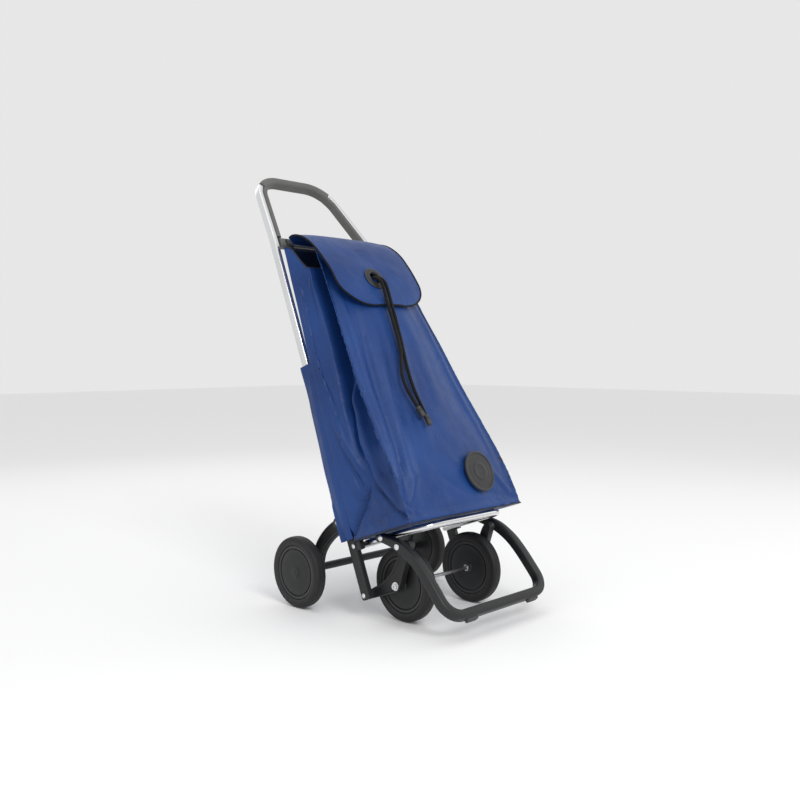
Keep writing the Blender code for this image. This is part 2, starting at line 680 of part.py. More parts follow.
def skin_grid(bm, rows, diagonal_first):
    """Triangles over a grid of vertices, every cell split along the same diagonal."""
    for lower, upper in zip(rows[:-1], rows[1:]):
        for i in range(len(lower) - 1):
            a, b, c, d = lower[i], lower[i + 1], upper[i + 1], upper[i]
            if diagonal_first:
                bm.faces.new((a, b, c))
                bm.faces.new((a, c, d))
            else:
                bm.faces.new((c, b, a))
                bm.faces.new((d, c, a))


def bag_panel(node, columns, outer, inner, pivot):
    """One panel of the bag between two of its upright seams, with a hair's gap at each seam."""
    bm = bmesh.new()
    sheets = []
    for lines, outward in ((outer, True), (inner, False)):
        rows = []
        for line in lines:
            points = [Vector(line[i % len(line)]) for i in columns]
            points[0] += (points[1] - points[0]).normalized() * SEAM_GAP
            points[-1] += (points[-2] - points[-1]).normalized() * SEAM_GAP
            rows.append([bm.verts.new(p) for p in points])
        skin_grid(bm, rows, outward)
        sheets.append(rows)
    outside, inside = sheets
    for edge in ([(a[0], b[0]) for a, b in zip(outside, inside)],
                 list(zip(outside[-1], inside[-1])),
                 [(a[-1], b[-1]) for a, b in zip(reversed(outside), reversed(inside))],
                 list(zip(reversed(outside[0]), reversed(inside[0])))):
        for (a, b), (c, d) in zip(edge[:-1], edge[1:]):
            bm.faces.new((a, c, b))
            bm.faces.new((c, d, b))
    finish(node, bm, "fabric", pivot, 50.0)


def bag(pivot):
    """Bag body as thin panels between its seams and pleat folds, open at the mouth."""
    outer = [bag_ring(s) for s in BAG_SECTIONS]
    inner = [inset_ring(ring, BAG_WALL) for ring in outer]
    outer[-1] = bag_rim(outer[-1])
    inner[-1] = bag_rim(inner[-1])
    bag_panel("bag_right_rear", range(0, 4), outer, inner, pivot)
    bag_panel("bag_right_front", range(3, 7), outer, inner, pivot)
    bag_panel("bag_front", range(6, 13), outer, inner, pivot)
    bag_panel("bag_left_front", range(15, 11, -1), outer, inner, pivot)
    bag_panel("bag_left_rear", range(18, 14, -1), outer, inner, pivot)
    bag_panel("bag_back", range(18, 23), outer, inner, pivot)
    floor = inset_ring(outer[0], BAG_WALL + GAP)
    bm = bmesh.new()
    add_rings(bm, [[(x, y, BAG_BOTTOM_Z + lift) for x, y, z in floor] for lift in (0, BAG_WALL)])
    finish("bag_bottom", bm, "fabric", pivot, 50.0)


def flap(pivot):
    """Cloth flap over the mouth, with a round-cornered front edge and a hole for the eyelet."""
    centre = [Vector((0.0, y, z)) for y, z in FLAP_LINE]
    bm = bmesh.new()
    shares = (-1.0, -0.85, -0.5, 0.0, 0.5, 0.85, 1.0)
    rows = []
    for lift in (FLAP_THICKNESS / 2, -FLAP_THICKNESS / 2):
        side = []
        for i, p in enumerate(centre):
            along = (centre[min(i + 1, len(centre) - 1)] - centre[max(i - 1, 0)]).normalized()
            normal = Vector((0.0, along.z, -along.y))
            normal = -normal if normal.z - normal.y < 0 else normal
            side.append([p + normal * lift + Vector((t * FLAP_HALF_WIDTHS[i], 0, 0))
                         for t in shares])
        rows.append(side)
    rings = []
    for top, under in zip(*rows):
        rings.append(top + list(reversed(under)))
    add_rings(bm, rings)
    made = finish("flap", bm, "fabric", pivot, 50.0)
    bm = bmesh.new()
    add_rings(bm, [[(x, a, b) for a, b in circle(0.0188, 24)] for x in (-0.03, 0.03)])
    bm.transform(eyelet_turn())
    bm.transform(Matrix.Translation(eyelet_place() - Vector(pivot["at"])))
    bmesh.ops.recalc_face_normals(bm, faces=bm.faces)
    cut(made, bm)
    return made


def eyelet_place():
    (y0, z0), (y1, z1) = FLAP_LINE[8], FLAP_LINE[9]
    t = (z0 - EYELET_Z) / (z0 - z1)
    return Vector((EYELET_X, y0 + (y1 - y0) * t, EYELET_Z))


def eyelet_turn():
    """Turns the x direction to stand out of the flap at the eyelet."""
    (y0, z0), (y1, z1) = FLAP_LINE[8], FLAP_LINE[9]
    along = Vector((0.0, y1 - y0, z1 - z0)).normalized()
    normal = Vector((0.0, along.z, -along.y))
    return Vector((1, 0, 0)).rotation_difference(normal).to_matrix().to_4x4()


def eyelet(pivot):
    """Moulded ring through the flap, with a flange on each face."""
    skin = FLAP_THICKNESS / 2 + GAP
    profile = ((0.0160, -skin - 0.0012), (0.0160, skin + 0.0022), (0.0190, skin + 0.0034),
               (0.0270, skin + 0.0028), (0.0295, skin + 0.0005), (0.0295, skin),
               (0.0185, skin), (0.0185, -skin), (0.0255, -skin), (0.0255, -skin - 0.0012))
    turned("eyelet", profile, eyelet_place(), "grey_plastic", pivot, 24, closed=True,
           axis_turn=eyelet_turn())


def cord(name, pivot):
    """One free end of the drawcord, hanging from the eyelet, and the moulded tip on it."""
    route = smooth_route(CORD_ROUTES[name], 0.0095)
    data = bpy.data.curves.new("cord_" + name, "CURVE")
    data.dimensions = "3D"
    data.bevel_depth = CORD_RADIUS
    data.bevel_resolution = 2
    data.use_fill_caps = True
    spline = data.splines.new("POLY")
    spline.points.add(len(route) - 1)
    for point, place in zip(spline.points, route):
        point.co = (*(place - Vector(pivot["at"])), 1.0)
    data.materials.append(material("cord_" + name, "cord"))
    made = bpy.data.objects.new("cord_" + name, data)
    bpy.context.scene.collection.objects.link(made)
    made.parent = pivot["empty"]
    ahead = (route[-1] - route[-2]).normalized()
    turn = Vector((1, 0, 0)).rotation_difference(ahead).to_matrix().to_4x4()
    radius, length = CORD_TIP_RADIUS, CORD_TIP_LENGTH
    profile = ((radius * 0.8, 0.0), (radius, 0.002), (radius, length - 0.003),
               (radius * 0.75, length))
    turned("cord_tip_" + name, profile, route[-1] + ahead * GAP, "black_plastic", pivot, 12,
           axis_turn=turn)


def badge(pivot):
    """Plain round moulded badge low on the bag's front."""
    x, z = 0.068, 0.198
    lower, upper = BAG_SECTIONS[1], BAG_SECTIONS[2]
    t = (z - lower[0]) / (upper[0] - lower[0])
    share = (x / 0.196) ** 2
    y_low = lower[3] + (lower[2] - lower[3]) * share
    y_up = upper[3] + (upper[2] - upper[3]) * share
    y = y_low + (y_up - y_low) * t - 0.0042
    yaw = math.atan2(2 * x * (lower[2] - lower[3]) / 0.196 ** 2, 1.0)
    tilt = math.atan2(y_up - y_low, upper[0] - lower[0])
    normal = Vector((math.sin(yaw), -1.0, math.sin(tilt))).normalized()
    turn = Vector((1, 0, 0)).rotation_difference(normal).to_matrix().to_4x4()
    profile = ((BADGE_RADIUS, 0.0), (BADGE_RADIUS, 0.0012), (BADGE_RADIUS - 0.002, 0.0028))
    turned("badge", profile, (x, y, z), "black_plastic", pivot, 36, axis_turn=turn)


# ---------------------------------------------------------------- assembly
def make_pivots():
    """One empty for each moving body, on its joint's axis, under the leaning parent."""
    lean = empty("leaning_frame", None, (0.0, FRONT_AXLE_Y, WHEEL_RADIUS))
    lean.rotation_euler = (-LEAN, 0.0, 0.0)
    places = {
        "frame": (0.0, 0.0, 0.0),
        "base": (0.0, *BASE_HINGE),
        "stand": (0.0, *STAND_PIVOT),
        "carriage": (0.0, *CARRIAGE_PIVOT),
        "rear": (0.0, *REAR_HINGE),
        "flap": (0.0, *FLAP_HINGE),
        "front_axle": (0.0, 0.0, 0.0),
        "rear_axle": (0.0, *REAR_AXLE),
        "eyelet": tuple(eyelet_place()),
    }
    return {name: {"at": at, "empty": empty("pivot_" + name, lean, at)}
            for name, at in places.items()}


def frame_pins(name, side, frame, tube_side):
    """Pins of the base, the wheel bracket and the rear arm, riveted over on the frame's foot."""
    outer = FOOT_OUTER_X
    start, stop = BRACKET_X[0] + 0.0005, BRACKET_X[1] + GAP
    sleeve_end = RAIL_INNER_X - GAP
    head = ((0.0055, outer + GAP), (0.0055, outer + 0.002), (0.004, outer + 0.0032))
    shank = ((RIVET_RADIUS, tube_side), (RIVET_RADIUS, outer + GAP))
    pin("base_pin_" + name, shank + head, BASE_HINGE, side, frame)
    collar = ((RIVET_RADIUS, start), (RIVET_RADIUS, stop), (PIN_COLLAR_RADIUS, stop),
              (PIN_COLLAR_RADIUS, sleeve_end), (RIVET_RADIUS, sleeve_end),
              (RIVET_RADIUS, outer + GAP))
    pin("carriage_pin_" + name, collar + head, CARRIAGE_PIVOT, side, frame)
    inner = REAR_ARM_X[0] - 0.0005
    rear_pin = ((PIN_HEAD_RADIUS, inner - 0.0025), (PIN_HEAD_RADIUS, inner), (PIN_RADIUS, inner),
                (PIN_RADIUS, outer + GAP), (PIN_HEAD_RADIUS, outer + GAP),
                (PIN_TIP_RADIUS, outer + 0.0028))
    pin("rear_pin_" + name, rear_pin, REAR_HINGE, side, frame)


def stand_pins(name, side, base, stand, tube_side):
    """Rivets of the stand's arm: on the folding base, and the open one at the wheel bracket."""
    arm = STAND_OUTER_X
    head = ((PIN_RADIUS, arm + GAP), (PIN_COLLAR_RADIUS, arm + GAP),
            (PIN_COLLAR_RADIUS, arm + 0.0015), (PIN_TIP_RADIUS, arm + 0.0032))
    pin("stand_rivet_" + name, ((PIN_RADIUS, tube_side),) + head, STAND_PIVOT, side, base)
    inner = STAND_OUTER_X - STAND_WIDTH - 0.0005 - GAP
    washer = ((PIN_HEAD_RADIUS, 0.1495), (PIN_HEAD_RADIUS, inner), (PIN_RADIUS, inner))
    pin("link_rivet_" + name, washer + head, LINK_POINT, side, stand)


def build():
    clear_scene()
    pivots = make_pivots()
    frame, base, stand = pivots["frame"], pivots["base"], pivots["stand"]
    tube_side = BASE_TUBE_X + BASE_TUBE_RADIUS + GAP
    grip(frame)
    crossbar(frame)
    bag(frame)
    badge(frame)
    base_tube(base)
    base_board(base)
    stand_loop(stand)
    front_axle(pivots["carriage"])
    rear_axle(pivots["rear"])
    flap(pivots["flap"])
    eyelet(pivots["flap"])
    for name, side in SIDES:
        side_rail(name, side, frame)
        rail_foot(name, side, frame)
        bag_hook(name, side, frame)
        stand_pad(name, side, stand)
        wheel_bracket(name, side, pivots["carriage"])
        rear_arm(name, side, pivots["rear"])
        wheel("front_wheel_" + name, side, FRONT_WHEEL_X, (0.0, 0.0), False, AXLE_BORE,
              pivots["front_axle"])
        wheel("rear_wheel_" + name, side, REAR_WHEEL_X, REAR_AXLE, True, REAR_AXLE_BORE,
              pivots["rear_axle"])
        cord(name, pivots["eyelet"])
        frame_pins(name, side, frame, tube_side)
        stand_pins(name, side, base, stand, tube_side)


build()
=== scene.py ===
import math
import bmesh
import bpy
import numpy as np
from mathutils import Matrix, Vector, noise


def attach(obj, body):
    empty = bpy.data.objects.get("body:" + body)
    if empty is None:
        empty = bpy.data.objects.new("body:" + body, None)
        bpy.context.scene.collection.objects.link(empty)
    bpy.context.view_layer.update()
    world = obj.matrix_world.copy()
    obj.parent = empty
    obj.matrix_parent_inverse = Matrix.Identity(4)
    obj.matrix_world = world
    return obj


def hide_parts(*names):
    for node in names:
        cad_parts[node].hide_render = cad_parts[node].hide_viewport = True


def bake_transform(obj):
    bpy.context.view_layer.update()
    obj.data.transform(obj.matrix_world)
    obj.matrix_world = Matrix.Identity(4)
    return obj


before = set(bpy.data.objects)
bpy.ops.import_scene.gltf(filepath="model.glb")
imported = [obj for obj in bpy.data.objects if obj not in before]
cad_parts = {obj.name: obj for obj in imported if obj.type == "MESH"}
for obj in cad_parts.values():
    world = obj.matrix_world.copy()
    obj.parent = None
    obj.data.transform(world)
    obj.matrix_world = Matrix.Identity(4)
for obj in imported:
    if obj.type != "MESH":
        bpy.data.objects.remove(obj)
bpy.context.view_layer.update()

# ---------------------------------------------------------------- driving dimensions (metres)
LEAN = math.radians(22.0)
ORIGIN = Vector((0.0, -0.1788, 0.0825))  # the front axle, in the row frame
WHEEL_RADIUS = 0.0825
WHEEL_WIDTH = 0.028
FRONT_WHEEL_X = 0.112
REAR_WHEEL_X = 0.205
REAR_AXLE = (0.2355, 0.0951)
RAIL_INNER_X = 0.1576
RAIL_WIDTH = 0.013
RAIL_Y = 0.073
RAIL_DEPTH = 0.020
CROSSBAR_Z = 0.864
HANDLE_BEND = math.radians(16.6)
HANDLE_LEG = 0.1655
HANDLE_TOP_X = 0.1358
HANDLE_CORNER_RADIUS = 0.090
BASE_HINGE = (0.067, 0.110)
CARRIAGE_PIVOT = (0.076, 0.000)
STAND_PIVOT = (-0.027, 0.1065)
LINK_POINT = (-0.068, 0.077)
REAR_HINGE = (0.100, 0.172)
BASE_TUBE_X = 0.1425
BASE_TUBE_RADIUS = 0.008
BASE_TUBE_Z = 0.1095
BASE_FRONT_Y = -0.127
BASE_CORNER_RADIUS = 0.058
STAND_OUTER_X = 0.175
STAND_WIDTH = 0.021
STAND_DEPTH = 0.024
STAND_TOP_DEPTH = 0.017
STAND_CORNER_RADIUS = 0.042
STAND_TILT = math.radians(17.0)
STAND_BAR = (-0.1475, -0.0925)
STAND_ARM_LINE = (
    (-0.012, 0.1090), (-0.027, 0.1045), (-0.068, 0.077), (-0.0985, 0.040), (-0.1170, 0.002),
    (-0.1300, -0.034), (-0.1370, -0.055),
)
FLAP_LINE = (
    (0.0540, 0.8520), (0.0528, 0.8620), (0.0470, 0.8695), (0.0340, 0.8710), (0.0130, 0.8630),
    (-0.0150, 0.8410), (-0.0400, 0.8060), (-0.0580, 0.7650), (-0.0690, 0.7340),
    (-0.0800, 0.6840), (-0.0908, 0.6340),
)
EYELET_X = -0.016
EYELET_Z = 0.709
EYELET_HOLE = 0.0185
CORD_RADIUS = 0.004
CORD_ROUTES = {
    "left": (
        (-0.0205, -0.0740, 0.7105), (-0.0207, -0.0870, 0.7050), (-0.0200, -0.0960, 0.6910),
        (-0.0180, -0.0965, 0.6700), (-0.0215, -0.0985, 0.6380), (-0.0250, -0.1020, 0.6050),
        (-0.0300, -0.1065, 0.5700), (-0.0360, -0.1115, 0.5350), (-0.0450, -0.1160, 0.5000),
        (-0.0590, -0.1190, 0.4680), (-0.0690, -0.1225, 0.4380), (-0.0705, -0.1265, 0.4100),
        (-0.0665, -0.1305, 0.3860), (-0.0620, -0.1345, 0.3640),
    ),
    "right": (
        (-0.0115, -0.0740, 0.7105), (-0.0110, -0.0880, 0.7045), (-0.0085, -0.0970, 0.6890),
        (-0.0060, -0.0970, 0.6680), (-0.0085, -0.0985, 0.6380), (-0.0130, -0.1020, 0.6050),
        (-0.0190, -0.1060, 0.5700), (-0.0260, -0.1105, 0.5350), (-0.0335, -0.1145, 0.5000),
        (-0.0400, -0.1180, 0.4700), (-0.0450, -0.1220, 0.4400), (-0.0480, -0.1265, 0.4080),
        (-0.0470, -0.1310, 0.3760), (-0.0445, -0.1350, 0.3440),
    ),
}
CORD_STEP = 0.0045
CORD_TIP_STEP = 0.0095                   # the route's step whose last part gives the tip's line
CORD_TIP_LENGTH = 0.026
CORD_TIP_RADIUS = 0.0062
BADGE_RADIUS = 0.048
BADGE_PLACE = (0.068, 0.198)             # (x, z)
SIDES = (("left", -1.0), ("right", 1.0))
COS, SIN = math.cos(LEAN), math.sin(LEAN)
GAP = 0.0003
FOOT_OUTER_X = RAIL_INNER_X + RAIL_WIDTH + 0.001
AXLE_BORE = 0.0043
REAR_AXLE_BORE = 0.0053
WEAVE_SCALE = 330.0                      # threads of the weave, as waves per metre of the node
EDGE_WEAR = 0.022                        # how much paler a plastic's edges are


def row(p):
    """A point of the leaning frame (x, y rearwards, z along the rails) in the row frame."""
    x, y, z = p
    return Vector((x, y * COS + z * SIN, -y * SIN + z * COS)) + ORIGIN


# ---------------------------------------------------------------- camera, light and floor
def new_object(name, data):
    made = bpy.data.objects.new(name, data)
    bpy.context.scene.collection.objects.link(made)
    return made


def make_camera():
    data = bpy.data.cameras.new("camera")
    data.sensor_width = 36.0
    data.lens = 39.82
    data.clip_start = 0.05
    camera = new_object("camera", data)
    yaw, pitch = math.radians(-45.7626), math.radians(-2.8919)
    ahead = Vector((-math.sin(yaw) * math.cos(pitch), math.cos(yaw) * math.cos(pitch),
                    math.sin(pitch)))
    camera.location = (-1.499, -1.5119, 0.5846)
    camera.rotation_mode = "QUATERNION"
    camera.rotation_quaternion = ahead.to_track_quat("-Z", "Y")
    bpy.context.scene.camera = camera


def area_light(name, place, target, size, power):
    data = bpy.data.lights.new(name, "AREA")
    data.shape = "RECTANGLE"
    data.size, data.size_y = size
    data.energy = power
    light = new_object(name, data)
    light.location = place
    light.rotation_mode = "QUATERNION"
    light.rotation_quaternion = (Vector(target) - Vector(place)).to_track_quat("-Z", "Y")


def make_stage():
    world = bpy.data.worlds.new("studio")
    bpy.context.scene.world = world
    bpy.context.scene.view_settings.view_transform = "Standard"
    world.use_nodes = True
    backdrop = world.node_tree.nodes["Background"]
    backdrop.inputs["Color"].default_value = (1.0, 1.0, 1.0, 1.0)
    backdrop.inputs["Strength"].default_value = 0.80
    bm = bmesh.new()
    bmesh.ops.create_grid(bm, x_segments=1, y_segments=1, size=12.0)
    mesh = bpy.data.meshes.new("floor")
    bm.to_mesh(mesh)
    bm.free()
    floor = new_object("floor", mesh)
    shader = new_material("floor_paper")
    shader.inputs["Base Color"].default_value = (0.90, 0.90, 0.90, 1.0)
    shader.inputs["Roughness"].default_value = 0.75
    mesh.materials.append(bpy.data.materials["floor_paper"])
    area_light("key", (-0.9, -2.6, 2.3), (0.0, 0.0, 0.5), (1.2, 1.2), 42)
    area_light("fill", (-2.6, 0.6, 1.2), (0.0, 0.0, 0.5), (1.4, 1.8), 3)
    area_light("right", (2.4, -1.0, 1.6), (0.0, 0.0, 0.5), (1.4, 1.8), 5)
    area_light("back", (0.8, 2.4, 1.9), (0.0, 0.0, 0.6), (1.6, 1.2), 8)
    area_light("top", (0.0, 0.0, 2.8), (0.0, 0.0, 0.5), (2.0, 2.0), 6)


# ---------------------------------------------------------------- material helpers
def new_material(name):
    made = bpy.data.materials.new(name)
    made.use_nodes = True
    return made.node_tree.nodes["Principled BSDF"]


class Tree:
    """Short names for building one material's nodes."""

    def __init__(self, name):
        self.shader = new_material(name)
        self.material = bpy.data.materials[name]
        self.nodes = self.material.node_tree.nodes
        self.links = self.material.node_tree.links
        self.where = self.nodes.new("ShaderNodeTexCoord").outputs["Object"]

    def link(self, a, b):
        self.links.new(a, b)

    def mapping(self, scale, rotation=(0, 0, 0), source=None):
        node = self.nodes.new("ShaderNodeMapping")
        node.inputs["Scale"].default_value = scale
        node.inputs["Rotation"].default_value = rotation
        self.link(source or self.where, node.inputs["Vector"])
        return node.outputs["Vector"]

    def noise(self, scale, detail, rough, source=None, distortion=0.0):
        node = self.nodes.new("ShaderNodeTexNoise")
        node.inputs["Scale"].default_value = scale
        node.inputs["Detail"].default_value = detail
        node.inputs["Roughness"].default_value = rough
        node.inputs["Distortion"].default_value = distortion
        self.link(source or self.where, node.inputs["Vector"])
        return node.outputs["Fac"]

    def wave(self, scale, direction, source=None):
        node = self.nodes.new("ShaderNodeTexWave")
        node.bands_direction = direction
        node.inputs["Scale"].default_value = scale
        self.link(source or self.where, node.inputs["Vector"])
        return node.outputs["Fac"]

    def ramp(self, fac, stops):
        node = self.nodes.new("ShaderNodeValToRGB")
        ramp = node.color_ramp
        while len(ramp.elements) < len(stops):
            ramp.elements.new(0.5)
        for element, (place, colour) in zip(ramp.elements, stops):
            element.position = place
            element.color = (*colour, 1.0) if len(colour) == 3 else (colour[0],) * 3 + (1.0,)
        self.link(fac, node.inputs["Fac"])
        return node.outputs["Color"]

    def combine(self, kind, a, b):
        node = self.nodes.new("ShaderNodeMath")
        node.operation = kind
        self.link(a, node.inputs[0])
        self.link(b, node.inputs[1])
        return node.outputs["Value"]

    def bump(self, height, strength, distance, normal=None):
        node = self.nodes.new("ShaderNodeBump")
        node.inputs["Strength"].default_value = strength
        node.inputs["Distance"].default_value = distance
        self.link(height, node.inputs["Height"])
        if normal is not None:
            self.link(normal, node.inputs["Normal"])
        return node.outputs["Normal"]

    def edges(self, low, high):
        """Bright on convex edges."""
        node = self.nodes.new("ShaderNodeNewGeometry")
        return self.ramp(node.outputs["Pointiness"], ((low, (0,)), (high, (1,))))

    def set(self, **values):
        for name, value in values.items():
            self.shader.inputs[name.replace("_", " ")].default_value = value

    def feed(self, name, source):
        self.link(source, self.shader.inputs[name])


def fabric_material(name, dark, light):
    """Satin polyester: broad shade changes, small creases and a plain weave."""
    t = Tree(name)
    broad = t.noise(5.0, 3.0, 0.55)
    t.feed("Base Color", t.ramp(broad, ((0.30, dark), (0.72, light))))
    rough = t.noise(38.0, 4.0, 0.6)
    t.feed("Roughness", t.ramp(rough, ((0.25, (0.36,)), (0.8, (0.52,)))))
    t.set(Sheen_Weight=0.04, Sheen_Roughness=0.35, Sheen_Tint=(0.55, 0.68, 1.0, 1.0),
          Specular_IOR_Level=0.30)
    creases = t.bump(t.noise(16.0, 5.0, 0.55, distortion=0.6), 0.22, 0.012)
    across = t.wave(WEAVE_SCALE, "X")
    along = t.wave(WEAVE_SCALE, "Z", source=t.mapping((1, 1, 1), (LEAN, 0, 0)))
    t.feed("Normal", t.bump(t.combine("ADD", across, along), 0.10, 0.0004, creases))
    return t.material


def plastic_material(name, colour, rough, grain=900.0):
    """Moulded plastic: a fine spark-eroded grain, slightly paler worn edges, uneven gloss."""
    t = Tree(name)
    base = t.ramp(t.noise(14.0, 4.0, 0.6),
                  ((0.3, tuple(c * 0.85 for c in colour)), (0.75, tuple(c * 1.18 for c in colour))))
    mix = t.nodes.new("ShaderNodeMix")
    mix.data_type = "RGBA"
    t.link(t.edges(0.505, 0.56), mix.inputs["Factor"])
    t.link(base, mix.inputs["A"])
    mix.inputs["B"].default_value = (*(c + EDGE_WEAR for c in colour), 1.0)
    t.feed("Base Color", mix.outputs["Result"])
    t.feed("Roughness", t.ramp(t.noise(60.0, 5.0, 0.6),
                               ((0.2, (rough - 0.07,)), (0.85, (rough + 0.08,)))))
    t.set(Specular_IOR_Level=0.36)
    t.feed("Normal", t.bump(t.noise(grain, 2.0, 0.5), 0.16, 0.0003))
    return t.material


def metal_material(name, colour, rough, brushed=None):
    """Bright metal with faint drawn lines, or with small scuffs."""
    t = Tree(name)
    t.set(Metallic=1.0)
    patch = t.noise(9.0, 3.0, 0.5)
    t.feed("Base Color", t.ramp(patch, ((0.25, tuple(c * 0.93 for c in colour)), (0.8, colour))))
    if brushed:
        lines = t.noise(1.0, 3.0, 0.6, source=t.mapping(brushed, (LEAN, 0, 0)))
        t.feed("Roughness", t.ramp(lines, ((0.25, (rough - 0.06,)), (0.75, (rough + 0.09,)))))
        t.feed("Normal", t.bump(lines, 0.05, 0.0004))
    else:
        scuffs = t.noise(55.0, 6.0, 0.65)
        t.feed("Roughness", t.ramp(scuffs, ((0.35, (rough,)), (0.9, (rough + 0.12,)))))
        t.feed("Normal", t.bump(t.noise(220.0, 3.0, 0.5), 0.03, 0.0003))
    return t.material


def cord_material(name, colour):
    """Braided cord: two crossing spirals of strands along the curve; painted shade in their
    grooves.
    """
    t = Tree(name)
    uv = t.nodes.new("ShaderNodeTexCoord").outputs["UV"]
    one = t.wave(1.0, "DIAGONAL", source=t.mapping((230.0, 9.0, 1.0), source=uv))
    two = t.wave(1.0, "DIAGONAL", source=t.mapping((230.0, -9.0, 1.0), source=uv))
    strands = t.combine("MULTIPLY", one, two)
    # painted shade: the low parts between the strands are coloured at half the cord's colour
    dark = tuple(c * 0.5 for c in colour)
    t.feed("Base Color", t.ramp(strands, ((0.0, dark), (0.6, colour))))
    t.set(Roughness=0.80, Sheen_Weight=0.05, Specular_IOR_Level=0.25)
    t.feed("Normal", t.bump(strands, 0.5, 0.0006))
    return t.material


# ---------------------------------------------------------------- mesh helpers
def mesh_object(name, bm, material):
    """A smooth-shaded object from a bmesh drawn in the row frame."""
    mesh = bpy.data.meshes.new(name)
    bm.to_mesh(mesh)
    bm.free()
    mesh.shade_smooth()
    mesh.materials.append(material)
    return new_object(name, mesh)


def solid(name, bm, material, body, replaces=None, smooth=35.0):
    """An object from a bmesh drawn in the leaning axes, riding on its body."""
    bmesh.ops.recalc_face_normals(bm, faces=bm.faces)
    if bm.calc_volume(signed=True) < 0:
        bmesh.ops.reverse_faces(bm, faces=bm.faces)
    for v in bm.verts:
        v.co = row(v.co)
    made = mesh_object(name, bm, material)
    made.data.set_sharp_from_angle(angle=math.radians(smooth))
    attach(made, body)
    if replaces:
        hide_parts(replaces)
    return made


def apply_modifiers(obj):
    """Replaces the object's mesh by what its modifiers make of it."""
    bpy.context.view_layer.update()
    graph = bpy.context.evaluated_depsgraph_get()
    mesh = bpy.data.meshes.new_from_object(obj.evaluated_get(graph))
    obj.modifiers.clear()
    old = obj.data
    obj.data = mesh
    mesh.name = old.name


def thicken(obj, thickness, lining=1):
    """Gives a sheet its thickness inwards, with the material lining slots on for the inside."""
    thick = obj.modifiers.new("thickness", "SOLIDIFY")
    thick.thickness = thickness
    thick.offset = -1.0
    thick.material_offset = lining
    apply_modifiers(obj)


def add_rings(bm, rings, closed=False, caps=True):
    """Joins equal rings of points with quads; closed also joins the last ring to the first."""
    loops = [[bm.verts.new(p) for p in ring] for ring in rings]
    count = len(loops[0])
    pairs = list(zip(loops[:-1], loops[1:]))
    if closed:
        pairs.append((loops[-1], loops[0]))
    for first, second in pairs:
        for i in range(count):
            j = (i + 1) % count
            bm.faces.new((first[i], first[j], second[j], second[i]))
    if caps and not closed:
        bm.faces.new(list(reversed(loops[0])))
        bm.faces.new(loops[-1])


def in_row(rings):
    """Rings drawn in the leaning axes, moved to the row frame."""
    return [[row(p) for p in ring] for ring in rings]


def ring_solid(name, rings, material, body, replaces=None, smooth=35.0):
    """A solid from its rings, capped at both ends."""
    bm = bmesh.new()
    add_rings(bm, rings)
    return solid(name, bm, material, body, replaces, smooth)


def rounded(width, height, radius, steps):
    """Points of a rectangle with round corners."""
    points = []
    corners = ((1, 1, 0), (-1, 1, 90), (-1, -1, 180), (1, -1, 270))
    for sx, sy, start in corners:
        for k in range(steps + 1):
            angle = math.radians(start + 90 * k / steps)
            points.append((sx * (width / 2 - radius) + radius * math.cos(angle),
                           sy * (height / 2 - radius) + radius * math.sin(angle)))
    return points


def circle(radius, count):
    turns = [2 * math.pi * k / count for k in range(count)]
    return [(radius * math.cos(a), radius * math.sin(a)) for a in turns]


def arc(centre, radius, start, end, steps):
    """Points of an arc between two angles in degrees."""
    points = []
    for k in range(steps + 1):
        angle = math.radians(start + (end - start) * k / steps)
        points.append((centre[0] + radius * math.cos(angle), centre[1] + radius * math.sin(angle)))
    return points


def along_at(points, i):
    """Direction of a line of points at its point i."""
    return (points[min(i + 1, len(points) - 1)] - points[max(i - 1, 0)]).normalized()


def turn_from_x(direction):
    """The rotation that takes the x direction to the given one."""
    return Vector((1, 0, 0)).rotation_difference(direction).to_matrix().to_4x4()


def mirrored_path(half):
    """A line from one side to the other, from its half on the side of positive x."""
    return half + [Vector((-p.x, p.y, p.z)) for p in reversed(half)]


def sweep_rings(points, section, across):
    """Rings of a section carried along a line; section may be a function of the place."""
    rings = []
    for i, point in enumerate(points):
        along = along_at(points, i)
        side = (across[i] - along * across[i].dot(along)).normalized()
        up = along.cross(side)
        shape = section(i) if callable(section) else section
        rings.append([point + side * a + up * b for a, b in shape])
    return rings


def turned(name, profile, centre, material, body, replaces, count, closed=False,
           side=1.0, axis_turn=None, smooth=35.0):
    """Turns (radius, x) points about the x direction through centre, in the leaning axes."""
    bm = bmesh.new()
    rings = [[(side * x, a, b) for a, b in circle(radius, count)] for radius, x in profile]
    add_rings(bm, rings, closed)
    if axis_turn is not None:
        bm.transform(axis_turn)
    bm.transform(Matrix.Translation(Vector(centre)))
    return solid(name, bm, material, body, replaces, smooth)


def walk(points):
    """Distance along a line of points from its start to each of them."""
    walked = [0.0]
    for a, b in zip(points[:-1], points[1:]):
        walked.append(walked[-1] + (b - a).length)
    return walked


def resample(points, count):
    """A line of points read off at count places, equal steps apart."""
    walked = walk(points)
    wanted = np.linspace(0.0, walked[-1], count)
    axes = [np.interp(wanted, walked, [p[i] for p in points]) for i in range(3)]
    return [Vector(p) for p in zip(*axes)]


def smooth_route(points, step):
    """A smooth curve through the points, read off at about equal steps."""
    knots = [Vector(p) for p in points]
    knots = [knots[0] * 2 - knots[1]] + knots + [knots[-1] * 2 - knots[-2]]
    fine = []
    for k in range(1, len(knots) - 2):
        p0, p1, p2, p3 = knots[k - 1:k + 3]
        for j in range(20):
            t = j / 20
            fine.append(0.5 * (2 * p1 + (p2 - p0) * t + (2 * p0 - 5 * p1 + 4 * p2 - p3) * t * t
                               + (3 * p1 - p0 - 3 * p2 + p3) * t * t * t))
    fine.append(knots[-2])
    return resample(fine, max(2, round(walk(fine)[-1] / step)) + 1)


